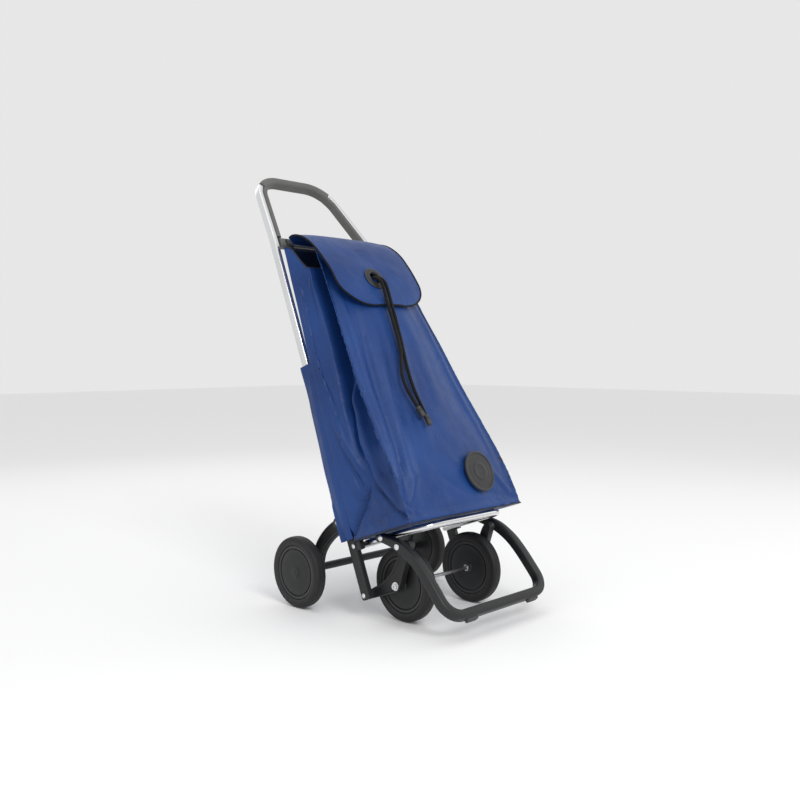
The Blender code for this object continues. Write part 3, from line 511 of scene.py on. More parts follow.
def curve_along(table, value):
    """Smoothly interpolated columns of a table whose first column rises."""
    keys = [r[0] for r in table]
    k = int(np.clip(np.searchsorted(keys, value) - 1, 0, len(keys) - 2))
    t = (value - keys[k]) / (keys[k + 1] - keys[k])
    t = min(max(t, 0.0), 1.0)
    rows = [table[min(max(k + d, 0), len(table) - 1)] for d in (-1, 0, 1, 2)]
    out = []
    for p0, p1, p2, p3 in zip(*rows):
        m1 = (p2 - p0) / 2
        m2 = (p3 - p1) / 2
        out.append((2 * t**3 - 3 * t**2 + 1) * p1 + (t**3 - 2 * t**2 + t) * m1
                   + (-2 * t**3 + 3 * t**2) * p2 + (t**3 - t**2) * m2)
    return out


def ease(t):
    """From 0 to 1 with a level start and end."""
    return t * t * (3.0 - 2.0 * t)


def flute(value, width):
    """A smooth bump that is 1 at 0 and fades within width."""
    s = min(abs(value) / width, 1.0)
    return (1.0 - s * s) ** 2


def rod_profile(radius, half, chamfer):
    """A rod with slightly chamfered ends, for turned()."""
    return ((radius - chamfer, -half), (radius, 0.0005 - half), (radius, half - 0.0005),
            (radius - chamfer, half))


# ---------------------------------------------------------------- cords
def eyelet_segment():
    """The two points of the flap's line on either side of the eyelet."""
    return FLAP_LINE[8], FLAP_LINE[9]


def eyelet_centre():
    """Where the flap's line crosses the eyelet's height."""
    (y0, z0), (y1, z1) = eyelet_segment()
    t = (z0 - EYELET_Z) / (z0 - z1)
    return Vector((EYELET_X, y0 + (y1 - y0) * t, EYELET_Z))


def eyelet_turn():
    """The rotation that lays the eyelet flat on the flap."""
    (y0, z0), (y1, z1) = eyelet_segment()
    along = Vector((0.0, y1 - y0, z1 - z0)).normalized()
    return turn_from_x(Vector((0.0, along.z, -along.y)))


def make_cords(material, tip_material):
    """Two braided cords hanging from the eyelet, each with a ribbed tip."""
    for name, _ in SIDES:
        route = [row(p) for p in smooth_route(CORD_ROUTES[name], CORD_STEP)]
        data = bpy.data.curves.new("braided_cord_" + name, "CURVE")
        data.dimensions = "3D"
        data.bevel_depth = CORD_RADIUS
        data.bevel_resolution = 5
        data.use_fill_caps = True
        spline = data.splines.new("POLY")
        spline.points.add(len(route) - 1)
        for point, place in zip(spline.points, route):
            point.co = (*place, 1.0)
        data.materials.append(material)
        cord = new_object("braided_cord_" + name, data)
        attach(cord, "cords")
        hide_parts("cord_" + name)
        coarse = smooth_route(CORD_ROUTES[name], CORD_TIP_STEP)
        turn = turn_from_x((coarse[-1] - coarse[-2]).normalized())
        r, length = CORD_TIP_RADIUS, CORD_TIP_LENGTH
        profile = [(r * 0.66, 0.0), (r * 0.86, 0.0008), (r, 0.003)]
        for at in (0.0070, 0.0096, 0.0122):
            profile += [(r, at - 0.0007), (r * 0.92, at), (r, at + 0.0007)]
        profile += [(r, length - 0.0035), (r * 0.93, length - 0.0012), (r * 0.70, length)]
        tip = turned("cord_end_" + name, profile, coarse[-1], tip_material, "cords",
                     "cord_tip_" + name, 32, axis_turn=turn)
        length = walk(route)[-1]
        print("cord", name, round(length, 4))


# ---------------------------------------------------------------- bag
# z, rear y, front corner y, front middle y, rear half width, front half width, pleat depth
BAG_SECTIONS = (
    (0.1185, 0.055, -0.139, -0.141, 0.185, 0.195, 0.000),
    (0.160, 0.057, -0.136, -0.143, 0.187, 0.197, 0.014),
    (0.225, 0.057, -0.127, -0.142, 0.187, 0.195, 0.030),
    (0.310, 0.057, -0.109, -0.135, 0.185, 0.187, 0.046),
    (0.420, 0.057, -0.086, -0.119, 0.180, 0.177, 0.058),
    (0.540, 0.0575, -0.067, -0.102, 0.1725, 0.166, 0.066),
    (0.650, 0.0575, -0.048, -0.086, 0.166, 0.152, 0.070),
    (0.730, 0.0575, -0.037, -0.063, 0.162, 0.145, 0.072),
    (0.800, 0.0575, -0.027, -0.043, 0.158, 0.140, 0.070),
)
BAG_TOP_Z = 0.800
BAG_BOTTOM_Z = 0.1185
BAG_REAR_TOP_Z = 0.846
BASE_SLOPE = 0.045                       # the base and the bag's bottom drop towards the front
PLEAT_NOTCH = 0.050                      # how far the mouth dips at the side pleats
PLEAT_APEX_Z = 0.238
PLEAT_PLACE = 0.54                       # the pleat's apex, as a share from rear to front corner
PLEAT_BLEND = 0.16                       # share of the height over which the upper pleat starts
SIDE_STEPS, FRONT_STEPS, REAR_STEPS, LEVELS = 52, 84, 24, 104
REAR_COLUMNS, REAR_SHARE = 17, 0.46      # a side's wider columns, and the share they take up
CORNERS = (0, SIDE_STEPS, SIDE_STEPS + FRONT_STEPS, 2 * SIDE_STEPS + FRONT_STEPS)
BAG_THICKNESS = 0.0010
FLAP_THICKNESS = 0.0018
FLOOR_THICKNESS = 0.0016
FLOOR_HALF_WIDTH = 0.1545                # the stiff floor, between the rails
SAG_CAP = 0.006                          # the most that the simulation may move the cloth
CLOTH_FRAMES = 24
SLEEVE_BOTTOM_Z = 0.125
SLEEVE_TOP_Z = 0.543
SLEEVE_LEVELS = 60
SLEEVE_OPEN_Z = 0.210                    # below this the sleeve doesn't wrap behind the rail


# Share of the pleat's depth by share t from the rear corner to the front one, at heights
# between the apex (0) and the mouth (1): flat rear, shoulder, first valley, ridge, and both
# sides of the second valley
PLEAT_KNOTS = (
    (0.00, (0.25, 0.20), (0.40, 0.50), (0.52, 1.00), (0.58, 0.60), (0.76, 1.25), (0.90, 1.30)),
    (0.14, (0.28, 0.12), (0.43, 0.28), (0.53, 0.95), (0.60, 0.36), (0.75, 1.15), (0.90, 1.20)),
    (0.30, (0.30, 0.06), (0.48, 0.16), (0.57, 0.98), (0.64, 0.42), (0.75, 0.98), (0.90, 1.00)),
    (0.46, (0.32, 0.06), (0.56, 0.13), (0.66, 0.95), (0.71, 0.88), (0.79, 1.00), (0.90, 1.00)),
    (0.70, (0.34, 0.05), (0.59, 0.12), (0.70, 0.96), (0.76, 1.00), (0.84, 1.00), (0.90, 1.00)),
    (1.00, (0.30, 0.05), (0.58, 0.14), (0.69, 0.90), (0.76, 0.96), (0.84, 0.95), (0.90, 0.85)),
)


def pleat_share(t, height):
    """Share of the pleat's depth from the table of knots."""
    keys = [k[0] for k in PLEAT_KNOTS]
    i = int(np.clip(np.searchsorted(keys, height) - 1, 0, len(keys) - 2))
    mix = ease(min(max((height - keys[i]) / (keys[i + 1] - keys[i]), 0.0), 1.0))
    knots = [(0.0, 0.0)]
    for low, high in zip(PLEAT_KNOTS[i][1:], PLEAT_KNOTS[i + 1][1:]):
        knots.append((low[0] + (high[0] - low[0]) * mix, low[1] + (high[1] - low[1]) * mix))
    knots.append((1.0, 0.0))
    for (t0, d0), (t1, d1) in zip(knots[:-1], knots[1:]):
        if t <= t1:
            share = (t - t0) / (t1 - t0)
            if t0 == 0.0:
                return d1 * share * share
            if t1 == 1.0:
                return d0 * (1.0 - share) * (1.0 - share) * (1.0 + 2.0 * share) ** 0.5
            return d0 + (d1 - d0) * ease(share)
    return 0.0


def side_share(k):
    """Share of a side panel's width at column k; the columns are closer near the pleat."""
    if k <= REAR_COLUMNS:
        return REAR_SHARE * k / REAR_COLUMNS
    return REAR_SHARE + (1.0 - REAR_SHARE) * (k - REAR_COLUMNS) / (SIDE_STEPS - REAR_COLUMNS)


def pleat_fold(t, z, pleat, apex_pleat):
    """How far the side is drawn in at share t from the rear corner to the front one."""
    height = (z - PLEAT_APEX_Z) / (BAG_TOP_Z - PLEAT_APEX_Z)
    drop = min(max(-height * (BAG_TOP_Z - PLEAT_APEX_Z) / (PLEAT_APEX_Z - BAG_BOTTOM_Z), 0.0), 1.0)
    low = PLEAT_PLACE * (1.0 - drop)
    high = PLEAT_PLACE + (1.0 - PLEAT_PLACE) * drop
    depth = apex_pleat * (1.0 - drop) ** 1.15
    groove = 0.0130 * (flute(t - low, 0.055) + flute(t - high, 0.055))
    groove *= min(1.0, 4.0 * drop) * min(1.0, 7.0 * (1.0 - drop))
    if t < low:
        lower = depth * (t / max(low, 1e-6)) ** 1.6
    elif t > high:
        share = (1.0 - t) / max(1.0 - high, 1e-6)
        dip = ease(min(max((0.87 - share) / 0.40, 0.0), 1.0)) * min(share / 0.22, 1.0) ** 0.6
        lower = depth * share ** 1.2 + 0.036 * (1.0 - drop) ** 0.8 * dip
    else:
        lower = depth - 0.005 * drop * math.sin(math.pi * (t - low) / (high - low))
    if height <= 0.0:
        return lower + groove
    mix = ease(min(1.0, height / PLEAT_BLEND))
    return lower + (pleat * pleat_share(t, height) - lower) * mix


# Long soft folds of the front: x and z at the top, x and z at the bottom, height, half width
FRONT_FOLDS = (
    (-0.120, 0.700, -0.180, 0.130, 0.0075, 0.013),
    (-0.098, 0.640, -0.168, 0.130, -0.0068, 0.013),
    (-0.076, 0.560, -0.150, 0.135, 0.0056, 0.016),
    (-0.050, 0.640, -0.115, 0.160, -0.0030, 0.020),
    (-0.014, 0.600, -0.060, 0.240, 0.0032, 0.022),
    (0.040, 0.640, 0.030, 0.330, 0.0026, 0.026),
    (0.088, 0.680, 0.128, 0.260, -0.0034, 0.020),
    (0.116, 0.690, 0.162, 0.160, 0.0040, 0.015),
    (-0.188, 0.122, -0.110, 0.250, 0.0050, 0.009),
    (-0.188, 0.122, -0.135, 0.300, -0.0052, 0.008),
    (-0.188, 0.122, -0.060, 0.200, -0.0036, 0.011),
    (-0.188, 0.122, -0.010, 0.160, 0.0030, 0.010),
    (0.060, 0.190, -0.010, 0.250, 0.0020, 0.008),
    (0.020, 0.160, -0.060, 0.215, -0.0018, 0.009),
    (0.184, 0.128, 0.110, 0.230, 0.0036, 0.012),
    (0.184, 0.128, 0.050, 0.175, -0.0030, 0.012),
    (0.170, 0.330, 0.100, 0.300, 0.0020, 0.010),
    (0.150, 0.520, 0.085, 0.470, 0.0020, 0.012),
)


def front_folds(x, z):
    """How far the front panel stands out at (x, z)."""
    out = 0.0
    for xa, za, xb, zb, height, width in FRONT_FOLDS:
        along = Vector((xb - xa, zb - za))
        length = along.length
        along = along / length
        rel = Vector((x - xa, z - za))
        s = rel.dot(along) / length
        away = abs(rel.x * along.y - rel.y * along.x)
        if -0.15 < s < 1.1 and away < width:
            ends = min(1.0, (s + 0.15) / 0.35, (1.1 - s) / 0.35)
            out += height * flute(away, width) * ends * ends
    drift = noise.noise(Vector((x * 9.0, z * 4.0, 3.1)))
    fine = noise.noise(Vector((x * 26.0 + z * 9.0, z * 13.0, 7.7)))
    return out + 0.0036 * drift + 0.0012 * fine


def side_folds(side, t, z):
    """Soft creases of the side panels, running down from the mouth to the bottom corners."""
    lines = 0.0024 * math.sin(9.0 * t - 14.0 * z + 1.7 * side)
    drift = noise.noise(Vector((t * 3.4 + side * 5.0, z * 7.0, 1.3)))
    fine = noise.noise(Vector((t * 9.0 - side * 2.0, z * 24.0 + t * 6.0, 5.9)))
    sharp = 1.0 - abs(noise.noise(Vector((t * 4.0 + z * 9.0, z * 5.0 - t * 3.0, 2.2 + side))))
    fade = min(1.0, 6.0 * t, 6.0 * (1.0 - t))
    return (lines * 0.5 + 0.0042 * drift + 0.0011 * fine + 0.0018 * (sharp ** 4)) * fade


def bag_side(side, t, z, section, edge_fade, apex_pleat):
    """A point of a side panel at share t from the rear corner to the front one."""
    _, rear, front, _, rear_x, front_x, pleat = section
    fold = pleat_fold(t, z, pleat, apex_pleat) + side_folds(side, t, z) * edge_fade
    return Vector((side * (rear_x + (front_x - rear_x) * t - fold), rear + (front - rear) * t, z))


def bag_grid():
    """The bag's walls as level rings: right side, front, left side, rear."""
    apex_pleat = curve_along(BAG_SECTIONS, PLEAT_APEX_Z)[6]
    grid = []
    for level in range(LEVELS + 1):
        share = level / LEVELS
        z = BAG_BOTTOM_Z + (BAG_TOP_Z - BAG_BOTTOM_Z) * share
        section = curve_along(BAG_SECTIONS, z)
        _, rear, front, middle, rear_x, front_x, _ = section
        edge_fade = min(1.0, share * 14.0)
        ring = [bag_side(1.0, side_share(k), z, section, edge_fade, apex_pleat)
                for k in range(SIDE_STEPS)]
        for k in range(FRONT_STEPS):
            u = 1.0 - 2.0 * k / FRONT_STEPS
            y = middle + (front - middle) * u * u
            inside = min(1.0, 9.0 * (1.0 - abs(u)))
            ring.append(Vector((front_x * u, y - front_folds(front_x * u, z) * edge_fade * inside,
                                z)))
        ring += [bag_side(-1.0, side_share(SIDE_STEPS - k), z, section, edge_fade, apex_pleat)
                 for k in range(SIDE_STEPS)]
        ring += [Vector((rear_x * (2.0 * k / REAR_STEPS - 1.0), rear, z))
                 for k in range(REAR_STEPS)]
        grid.append(ring)
    soften(grid)
    lift_rim(grid)
    for p in (p for ring in grid for p in ring):
        p.z -= BASE_SLOPE * (0.056 - p.y) * ease(min(1.0, max(0.0, (0.34 - p.z) / 0.20)))
    return grid


def soften(grid):
    """Rounds the upright corners a little, as cloth turns them."""
    count = len(grid[0])
    for ring in grid:
        for corner, (reach, passes) in zip(CORNERS, ((2, 3), (4, 6), (4, 6), (2, 3))):
            for _ in range(passes):
                before = [p.copy() for p in ring]
                for d in range(-reach, reach + 1):
                    i = (corner + d) % count
                    ring[i] = before[i] * 0.5 + (before[i - 1] + before[(i + 1) % count]) * 0.25


def lift_rim(grid):
    """Raises the mouth: high at the rear, lower in front, dipping at the side pleats."""
    rear, front = BAG_SECTIONS[-1][1], BAG_SECTIONS[-1][2]
    for level, ring in enumerate(grid):
        share = max(0.0, (level / LEVELS - 0.72) / 0.28) ** 1.5
        for p in ring:
            t = min(max((rear - p.y) / (rear - front), 0.0), 1.0)
            rim = BAG_REAR_TOP_Z + (BAG_TOP_Z - BAG_REAR_TOP_Z) * t
            if abs(p.x) > 0.07:
                rim -= PLEAT_NOTCH * flute(t - 0.58, 0.42) ** 1.5
            p.z += (rim - BAG_TOP_Z) * share


def flange_ring(ring):
    """The bag's bottom edge brought in to clear the rails and the stand when it folds up."""
    return [Vector((max(-FLOOR_HALF_WIDTH, min(FLOOR_HALF_WIDTH, p.x)), p.y, p.z + 0.0004))
            for p in ring]


def make_bag(grid, cloth, lining):
    """The bag's walls, open at the mouth; the floor is a piece of its own on the base."""
    bm = bmesh.new()
    add_rings(bm, in_row([flange_ring(grid[0])] + grid), caps=False)
    middle = row((0.0, 0.0, 0.45))
    bm.normal_update()
    if sum(f.normal.dot(f.calc_center_median() - middle) for f in bm.faces) < 0:
        bmesh.ops.reverse_faces(bm, faces=bm.faces)
    bag = mesh_object("bag_cloth", bm, cloth)
    bag.data.materials.append(lining)
    settle(bag, len(grid[0]))
    thicken(bag, BAG_THICKNESS)
    bend_with_base(bag)
    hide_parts("bag_back", "bag_front", "bag_left_front", "bag_left_rear",
                "bag_right_front", "bag_right_rear")


def bend_with_base(obj):
    """Bakes the object's placement into its mesh."""
    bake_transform(obj)


def make_floor(grid, cloth):
    """The bag's bottom, stiffened by its board, which folds up with the base."""
    outer = flange_ring(grid[0])
    middle = sum(outer, Vector()) / len(outer)
    rings = []
    for share, lift in ((0.996, 0.0010), (0.97, 0.0002), (0.75, 0.0), (0.40, 0.0), (0.10, 0.0)):
        rings.append([middle + (p - middle) * share + Vector((0, 0, lift)) for p in outer])
    top = [[p + Vector((0, 0, FLOOR_THICKNESS)) for p in ring] for ring in rings]
    ring_solid("bag_floor", rings[::-1] + top, cloth, "base", "bag_bottom")


def pin_weight(level, k):
    """How firmly the cloth is held at column k of a level: by its rims, its rear and its seams."""
    from_rear = min(k, abs(CORNERS[3] - k))
    if level < 4 or level > LEVELS - 3 or k >= CORNERS[3] or from_rear < 5:
        return 1.0
    if min(abs(k - c) for c in CORNERS) < 2 or from_rear < 10:
        return 0.8
    return 0.0


def settle(obj, count):
    """Lets the cloth sag and crease a little between its seams, and caps how far it moves."""
    rest = [v.co.copy() for v in obj.data.vertices]
    pins = obj.vertex_groups.new(name="pins")
    for i in range(len(rest)):
        weight = pin_weight(*divmod(i, count))
        if weight > 0:
            pins.add([i], weight, "REPLACE")
    modifier = obj.modifiers.new("cloth", "CLOTH")
    settings = modifier.settings
    settings.quality = 6
    settings.mass = 0.18
    settings.tension_stiffness = 12
    settings.compression_stiffness = 12
    settings.shear_stiffness = 6
    settings.bending_stiffness = 0.25
    settings.vertex_group_mass = "pins"
    settings.shrink_min = -0.030
    settings.effector_weights.gravity = 0.5
    modifier.collision_settings.use_self_collision = False
    modifier.collision_settings.use_collision = False
    modifier.point_cache.frame_start = 1
    modifier.point_cache.frame_end = CLOTH_FRAMES
    scene = bpy.context.scene
    for step in range(1, CLOTH_FRAMES + 1):
        scene.frame_set(step)
    graph = bpy.context.evaluated_depsgraph_get()
    moved = obj.evaluated_get(graph).data
    new = [v.co.copy() for v in moved.vertices]
    obj.modifiers.clear()
    obj.vertex_groups.clear()
    for v, before, after in zip(obj.data.vertices, rest, new):
        shift = after - before
        if shift.length > SAG_CAP:
            shift *= SAG_CAP / shift.length
        v.co = before + shift
    scene.frame_set(1)


def make_hem(grid, trim):
    """Dark binding along the bag's bottom edge, and a turned edge round its mouth."""
    for name, ring, radius, lift in (("bag_hem", grid[0], 0.0012, 0.0010),
                                     ("mouth_edge", grid[-1], 0.0013, -0.0004)):
        ring = ring[::2]
        count = len(ring)
        rings = []
        for i, p in enumerate(ring):
            along = (ring[(i + 1) % count] - ring[i - 1]).normalized()
            side = Vector((0, 0, 1))
            side = (side - along * side.dot(along)).normalized()
            out = along.cross(side)
            centre = p + Vector((0, 0, lift))
            rings.append([centre + out * a + side * (b * 1.3) for a, b in circle(radius, 8)])
        bm = bmesh.new()
        add_rings(bm, in_row(rings), closed=True)
        bmesh.ops.recalc_face_normals(bm, faces=bm.faces)
        bend_with_base(mesh_object(name, bm, trim))


def make_sleeves(cloth):
    """Cloth strips that wrap round the rails and hold the bag's sides to them."""
    for name, side in SIDES:
        rings = []
        for k in range(SLEEVE_LEVELS + 1):
            z = SLEEVE_BOTTOM_Z + (SLEEVE_TOP_Z - SLEEVE_BOTTOM_Z) * k / SLEEVE_LEVELS
            rear_x = curve_along(BAG_SECTIONS, z)[4]
            ripple = 0.0016 * noise.noise(Vector((side * 4.0, z * 16.0, 0.4)))
            wall = RAIL_INNER_X + RAIL_WIDTH + 0.0026
            front_x = max(rear_x + 0.0002, wall)
            back_x = max(front_x - 0.0040, wall + 0.0006) + ripple
            line = [(front_x - 0.0022, 0.0495), (front_x - 0.0004, 0.056),
                    (front_x, 0.063), ((front_x + back_x) / 2, 0.072), (back_x, 0.080)]
            if z > SLEEVE_OPEN_Z:
                curl = min(1.0, (z - SLEEVE_OPEN_Z) / 0.06)
                line += [(back_x - 0.0014, 0.0860), (back_x - 0.0060 * curl, 0.0878),
                         (back_x - 0.0150 * curl, 0.0874 + 0.001 * (1 - curl))]
            else:
                out = back_x + 0.003 * flute(z - SLEEVE_BOTTOM_Z, 0.10)
                line += [(out, 0.0850), (out, 0.0868), (out, 0.0884)]
            points = smooth_route([(side * x, y, z) for x, y in line], 0.0030)
            rings.append(ring_of_strip(resample(points, 30), 0.0013, side))
        ring_solid("rail_sleeve_" + name, rings, cloth, "back_frame", smooth=60.0)


def ring_of_strip(points, thick, side):
    """A closed ring round a strip's level section, thick outwards."""
    outside = []
    for i, p in enumerate(points):
        along = along_at(points, i)
        normal = Vector((along.y, -along.x, 0.0)) * side
        outside.append(p + normal * (thick * min(1.0, 0.08 + i / 7)))
    return points + list(reversed(outside))


# ---------------------------------------------------------------- flap, eyelet, badge
FLAP_HALF_WIDTHS = (
    0.130, 0.135, 0.139, 0.140, 0.141, 0.142, 0.143, 0.142, 0.140, 0.1385, 0.137,
)
FLAP_CORNER = (0.092, 0.072)             # its front corners, across and along
FLAP_ACROSS, FLAP_ALONG = 84, 96
PIPING_START = 6                         # the flap's row at which its piping starts
PIPING_STEPS = 260


def flap_frame():
    """The flap's middle line as (point, outward normal, half width, distance to the front edge)."""
    line = smooth_route([(0.0, y, z) for y, z in FLAP_LINE], 0.003)
    length = walk(line)[-1]
    knots = [0.0]
    for a, b in zip(FLAP_LINE[:-1], FLAP_LINE[1:]):
        knots.append(knots[-1] + math.hypot(b[0] - a[0], b[1] - a[1]))
    table = [(k * length / knots[-1], w) for k, w in zip(knots, FLAP_HALF_WIDTHS)]
    line = resample(line, FLAP_ALONG + 1)
    out = []
    for i, p in enumerate(line):
        along = along_at(line, i)
        normal = Vector((0.0, along.z, -along.y))
        s = length * i / FLAP_ALONG
        out.append((p, normal, curve_along(table, s)[1], length - s))
    return out


def flap_grid():
    """Rows of points across the flap: rounded at its front corners, wavy, drooping at its sides."""
    grid = []
    for p, normal, half, left in flap_frame():
        reach = half
        if left < FLAP_CORNER[1]:
            inside = 1.0 - left / FLAP_CORNER[1]
            reach = half - FLAP_CORNER[0] * (1.0 - math.sqrt(max(1.0 - inside ** 2, 0.0)))
        line = []
        for k in range(FLAP_ACROSS + 1):
            u = 2.0 * k / FLAP_ACROSS - 1.0
            x = u * reach
            hang = min(1.0, max(0.0, (0.88 - p.z) / 0.10))
            wave = 0.0030 * noise.noise(Vector((x * 7.0, p.z * 5.0, 9.3)))
            wave += 0.0011 * noise.noise(Vector((x * 24.0 - p.z * 8.0, p.z * 16.0, 4.4)))
            droop = 0.010 * abs(u) ** 5 * hang + 0.010 * abs(u) ** 4 * (1.0 - hang)
            flat = 1.0 - flute(math.hypot(x - EYELET_X, p.z - EYELET_Z), 0.050)
            line.append(p + Vector((x, 0, 0)) + normal * (wave * hang * flat - droop * 0.5))
        grid.append(line)
    return grid


def turn_with_flap(piece):
    """Bakes the piece's placement into its mesh."""
    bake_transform(piece)


def flap_sheet(grid, cloth):
    """The flap's cloth, with a hole where the eyelet sits."""
    bm = bmesh.new()
    rows = [[bm.verts.new(p) for p in line] for line in in_row(grid)]
    centre = eyelet_centre()
    for i in range(FLAP_ALONG):
        for k in range(FLAP_ACROSS):
            middle = (grid[i][k] + grid[i + 1][k + 1]) / 2
            if (middle - centre).length > EYELET_HOLE:
                bm.faces.new((rows[i][k], rows[i][k + 1], rows[i + 1][k + 1], rows[i + 1][k]))
    bmesh.ops.delete(bm, geom=[v for v in bm.verts if not v.link_faces], context="VERTS")
    bm.normal_update()
    top = [f for f in bm.faces if f.calc_center_median().z > ORIGIN.z + 0.7]
    if sum(f.normal.z for f in top) < 0:
        bmesh.ops.reverse_faces(bm, faces=bm.faces)
    sheet = mesh_object("flap_cloth", bm, cloth)
    thicken(sheet, FLAP_THICKNESS, 0)
    turn_with_flap(sheet)
    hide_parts("flap")
    return sheet


def flap_piping(grid, trim):
    """Round piping along the flap's sides and front edge."""
    border = [line[0] for line in grid[PIPING_START:]]
    border += grid[-1][1:-1]
    border += [line[-1] for line in reversed(grid[PIPING_START:])]
    route = resample(border, PIPING_STEPS)
    rings = []
    for i, p in enumerate(route):
        along = along_at(route, i)
        side = along.cross(Vector((0, 0.93, 0.37))).normalized()
        up = along.cross(side)
        rings.append([p + side * a + up * b for a, b in circle(0.0021, 8)])
    bm = bmesh.new()
    add_rings(bm, in_row(rings))
    bmesh.ops.recalc_face_normals(bm, faces=bm.faces)
    piping = mesh_object("flap_piping", bm, trim)
    turn_with_flap(piping)
    return piping


def make_flap(cloth, trim, plastic):
    grid = flap_grid()
    sheet = flap_sheet(grid, cloth)
    piping = flap_piping(grid, trim)
    ring = make_eyelet(plastic)


def make_eyelet(plastic):
    """Moulded ring with a rounded flange on each face of the flap."""
    skin = 0.0013
    outer = [(0.0160, -0.0026), (0.0160, 0.0030), (0.0164, 0.0040), (0.0174, 0.0047)]
    outer += [(0.0190 + 0.0090 * t, 0.0049 - 0.0016 * t * t) for t in np.linspace(0, 1, 7)]
    outer += [(0.0291, 0.0026), (0.0296, 0.0018), (0.0296, skin), (0.0180, skin),
              (0.0180, -skin), (0.0255, -skin), (0.0255, -0.0024), (0.0250, -0.0028)]
    return turned("eyelet_ring", outer, eyelet_centre(), plastic, "flap",
                  "eyelet", 72, closed=True, axis_turn=eyelet_turn())


def make_badge(plastic):
    """Plain round badge: a raised rim round a shallow dished face."""
    x, z = BADGE_PLACE
    _, _, front, middle, _, front_x, _ = curve_along(BAG_SECTIONS, z)
    low, high = curve_along(BAG_SECTIONS, z - 0.03), curve_along(BAG_SECTIONS, z + 0.03)
    y = middle + (front - middle) * (x / front_x) ** 2 - 0.0046
    tilt = math.atan2(high[3] - low[3], 0.06)
    yaw = math.atan2(2 * x * (front - middle) / front_x ** 2, 1.0)
    turn = turn_from_x(Vector((math.sin(yaw), -1.0, math.sin(tilt))).normalized())
    r = BADGE_RADIUS
    profile = [(r - 0.001, -0.0030), (r, -0.0020), (r, 0.0010), (r - 0.0006, 0.0022),
               (r - 0.0018, 0.0028), (r - 0.0034, 0.0026), (r - 0.0044, 0.0014),
               (r - 0.0056, 0.0010)]
    profile += [(radius, 0.0012 + 0.0004 * (radius / 0.03)) for radius in (0.036, 0.028, 0.020)]
    profile += [(0.0188, 0.0019), (0.0172, 0.0021), (0.0158, 0.0018), (0.012, 0.0016),
                (0.002, 0.0017)]
    bm = bmesh.new()
    add_rings(bm, [[(a, p, q) for p, q in circle(radius, 96)] for radius, a in profile])
    bm.transform(turn)
    bm.transform(Matrix.Translation(Vector((x, y, z))))
    bmesh.ops.recalc_face_normals(bm, faces=bm.faces)
    for v in bm.verts:
        v.co = row(v.co)
    disc = mesh_object("badge_disc", bm, plastic)
    disc.data.set_sharp_from_angle(angle=math.radians(35.0))
    bend_with_base(disc)
    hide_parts("badge")


# ---------------------------------------------------------------- frame pieces
def plate(name, outline, x_from, x_to, material, body, replaces, bevel, panel=None):
    """A moulded plate from its (y, z) outline; panel = (border, depth) sinks its outer face."""
    bm = bmesh.new()
    add_rings(bm, [[(x, y, z) for y, z in outline] for x in (x_from, x_to)])
    if panel is not None:
        border, depth = panel
        face = max(bm.faces, key=lambda f: abs(f.calc_center_median().x) + f.calc_area())
        bm.normal_update()
        if face.normal.x * x_to < 0:
            bmesh.ops.reverse_faces(bm, faces=bm.faces)
        bmesh.ops.inset_region(bm, faces=[face], thickness=border, depth=0.0)
        bmesh.ops.inset_region(bm, faces=[face], thickness=0.0010, depth=-depth)
    made = solid(name, bm, material, body, replaces)
    edge = made.modifiers.new("edge", "BEVEL")
    edge.width = bevel
    edge.segments = 3
    edge.limit_method = "ANGLE"
    edge.angle_limit = math.radians(40.0)
    apply_modifiers(made)
    made.data.shade_smooth()
    made.data.set_sharp_from_angle(angle=math.radians(45.0))


def hexed(radius):
    """A six-sided ring of 48 points with the given half width across flats."""
    out = []
    for k in range(48):
        angle = 2 * math.pi * k / 48
        reach = radius / math.cos((angle + math.pi / 6) % (math.pi / 3) - math.pi / 6)
        out.append((reach * math.cos(angle), reach * math.sin(angle)))
    return out


def rivet(name, place, side, face, radius, height, material, body, replaces):
    """A domed rivet head standing just off the face at the given distance from the middle."""
    start = face + GAP
    shank = 0.004
    profile = [(shank, start - 0.012), (shank, start), (radius, start),
               (radius, start + height * 0.28)]
    profile += [(radius * math.cos(a), start + height * (0.28 + 0.72 * math.sin(a)))
                for a in np.linspace(0.2, 1.35, 6)]
    profile.append((0.0006, start + height))
    turned(name, profile, (0.0, *place), material, body, replaces, 48, side=side)


def handle_point(x, s, depth=0.0):
    """A point of the bent handle: s along its legs from the crossbar, depth behind its line."""
    sine, cosine = math.sin(HANDLE_BEND), math.cos(HANDLE_BEND)
    return Vector((x, RAIL_Y + s * sine + depth * cosine, CROSSBAR_Z + s * cosine - depth * sine))


def handle_outline(inset, from_s, to_angle, arc_steps, leg_steps=6):
    """Right half of the handle's outline moved inwards by inset: (x, s, inward direction)."""
    outer = RAIL_INNER_X + RAIL_WIDTH
    slope = math.atan2(outer - HANDLE_TOP_X, HANDLE_LEG)
    inward = (-math.cos(slope), -math.sin(slope))
    points = []
    for k in range(leg_steps):
        s = from_s + (HANDLE_LEG - from_s) * k / leg_steps
        x = outer + (HANDLE_TOP_X - outer) * s / HANDLE_LEG
        points.append((x + inward[0] * inset, s + inward[1] * inset, inward))
    centre = (HANDLE_TOP_X + inward[0] * HANDLE_CORNER_RADIUS,
              HANDLE_LEG + inward[1] * HANDLE_CORNER_RADIUS)
    start = math.degrees(slope)
    for k in range(arc_steps + 1):
        angle = math.radians(start + (to_angle - start) * k / arc_steps)
        direction = (-math.cos(angle), -math.sin(angle))
        reach = HANDLE_CORNER_RADIUS - inset
        points.append((centre[0] - direction[0] * reach, centre[1] - direction[1] * reach,
                       direction))
    return points


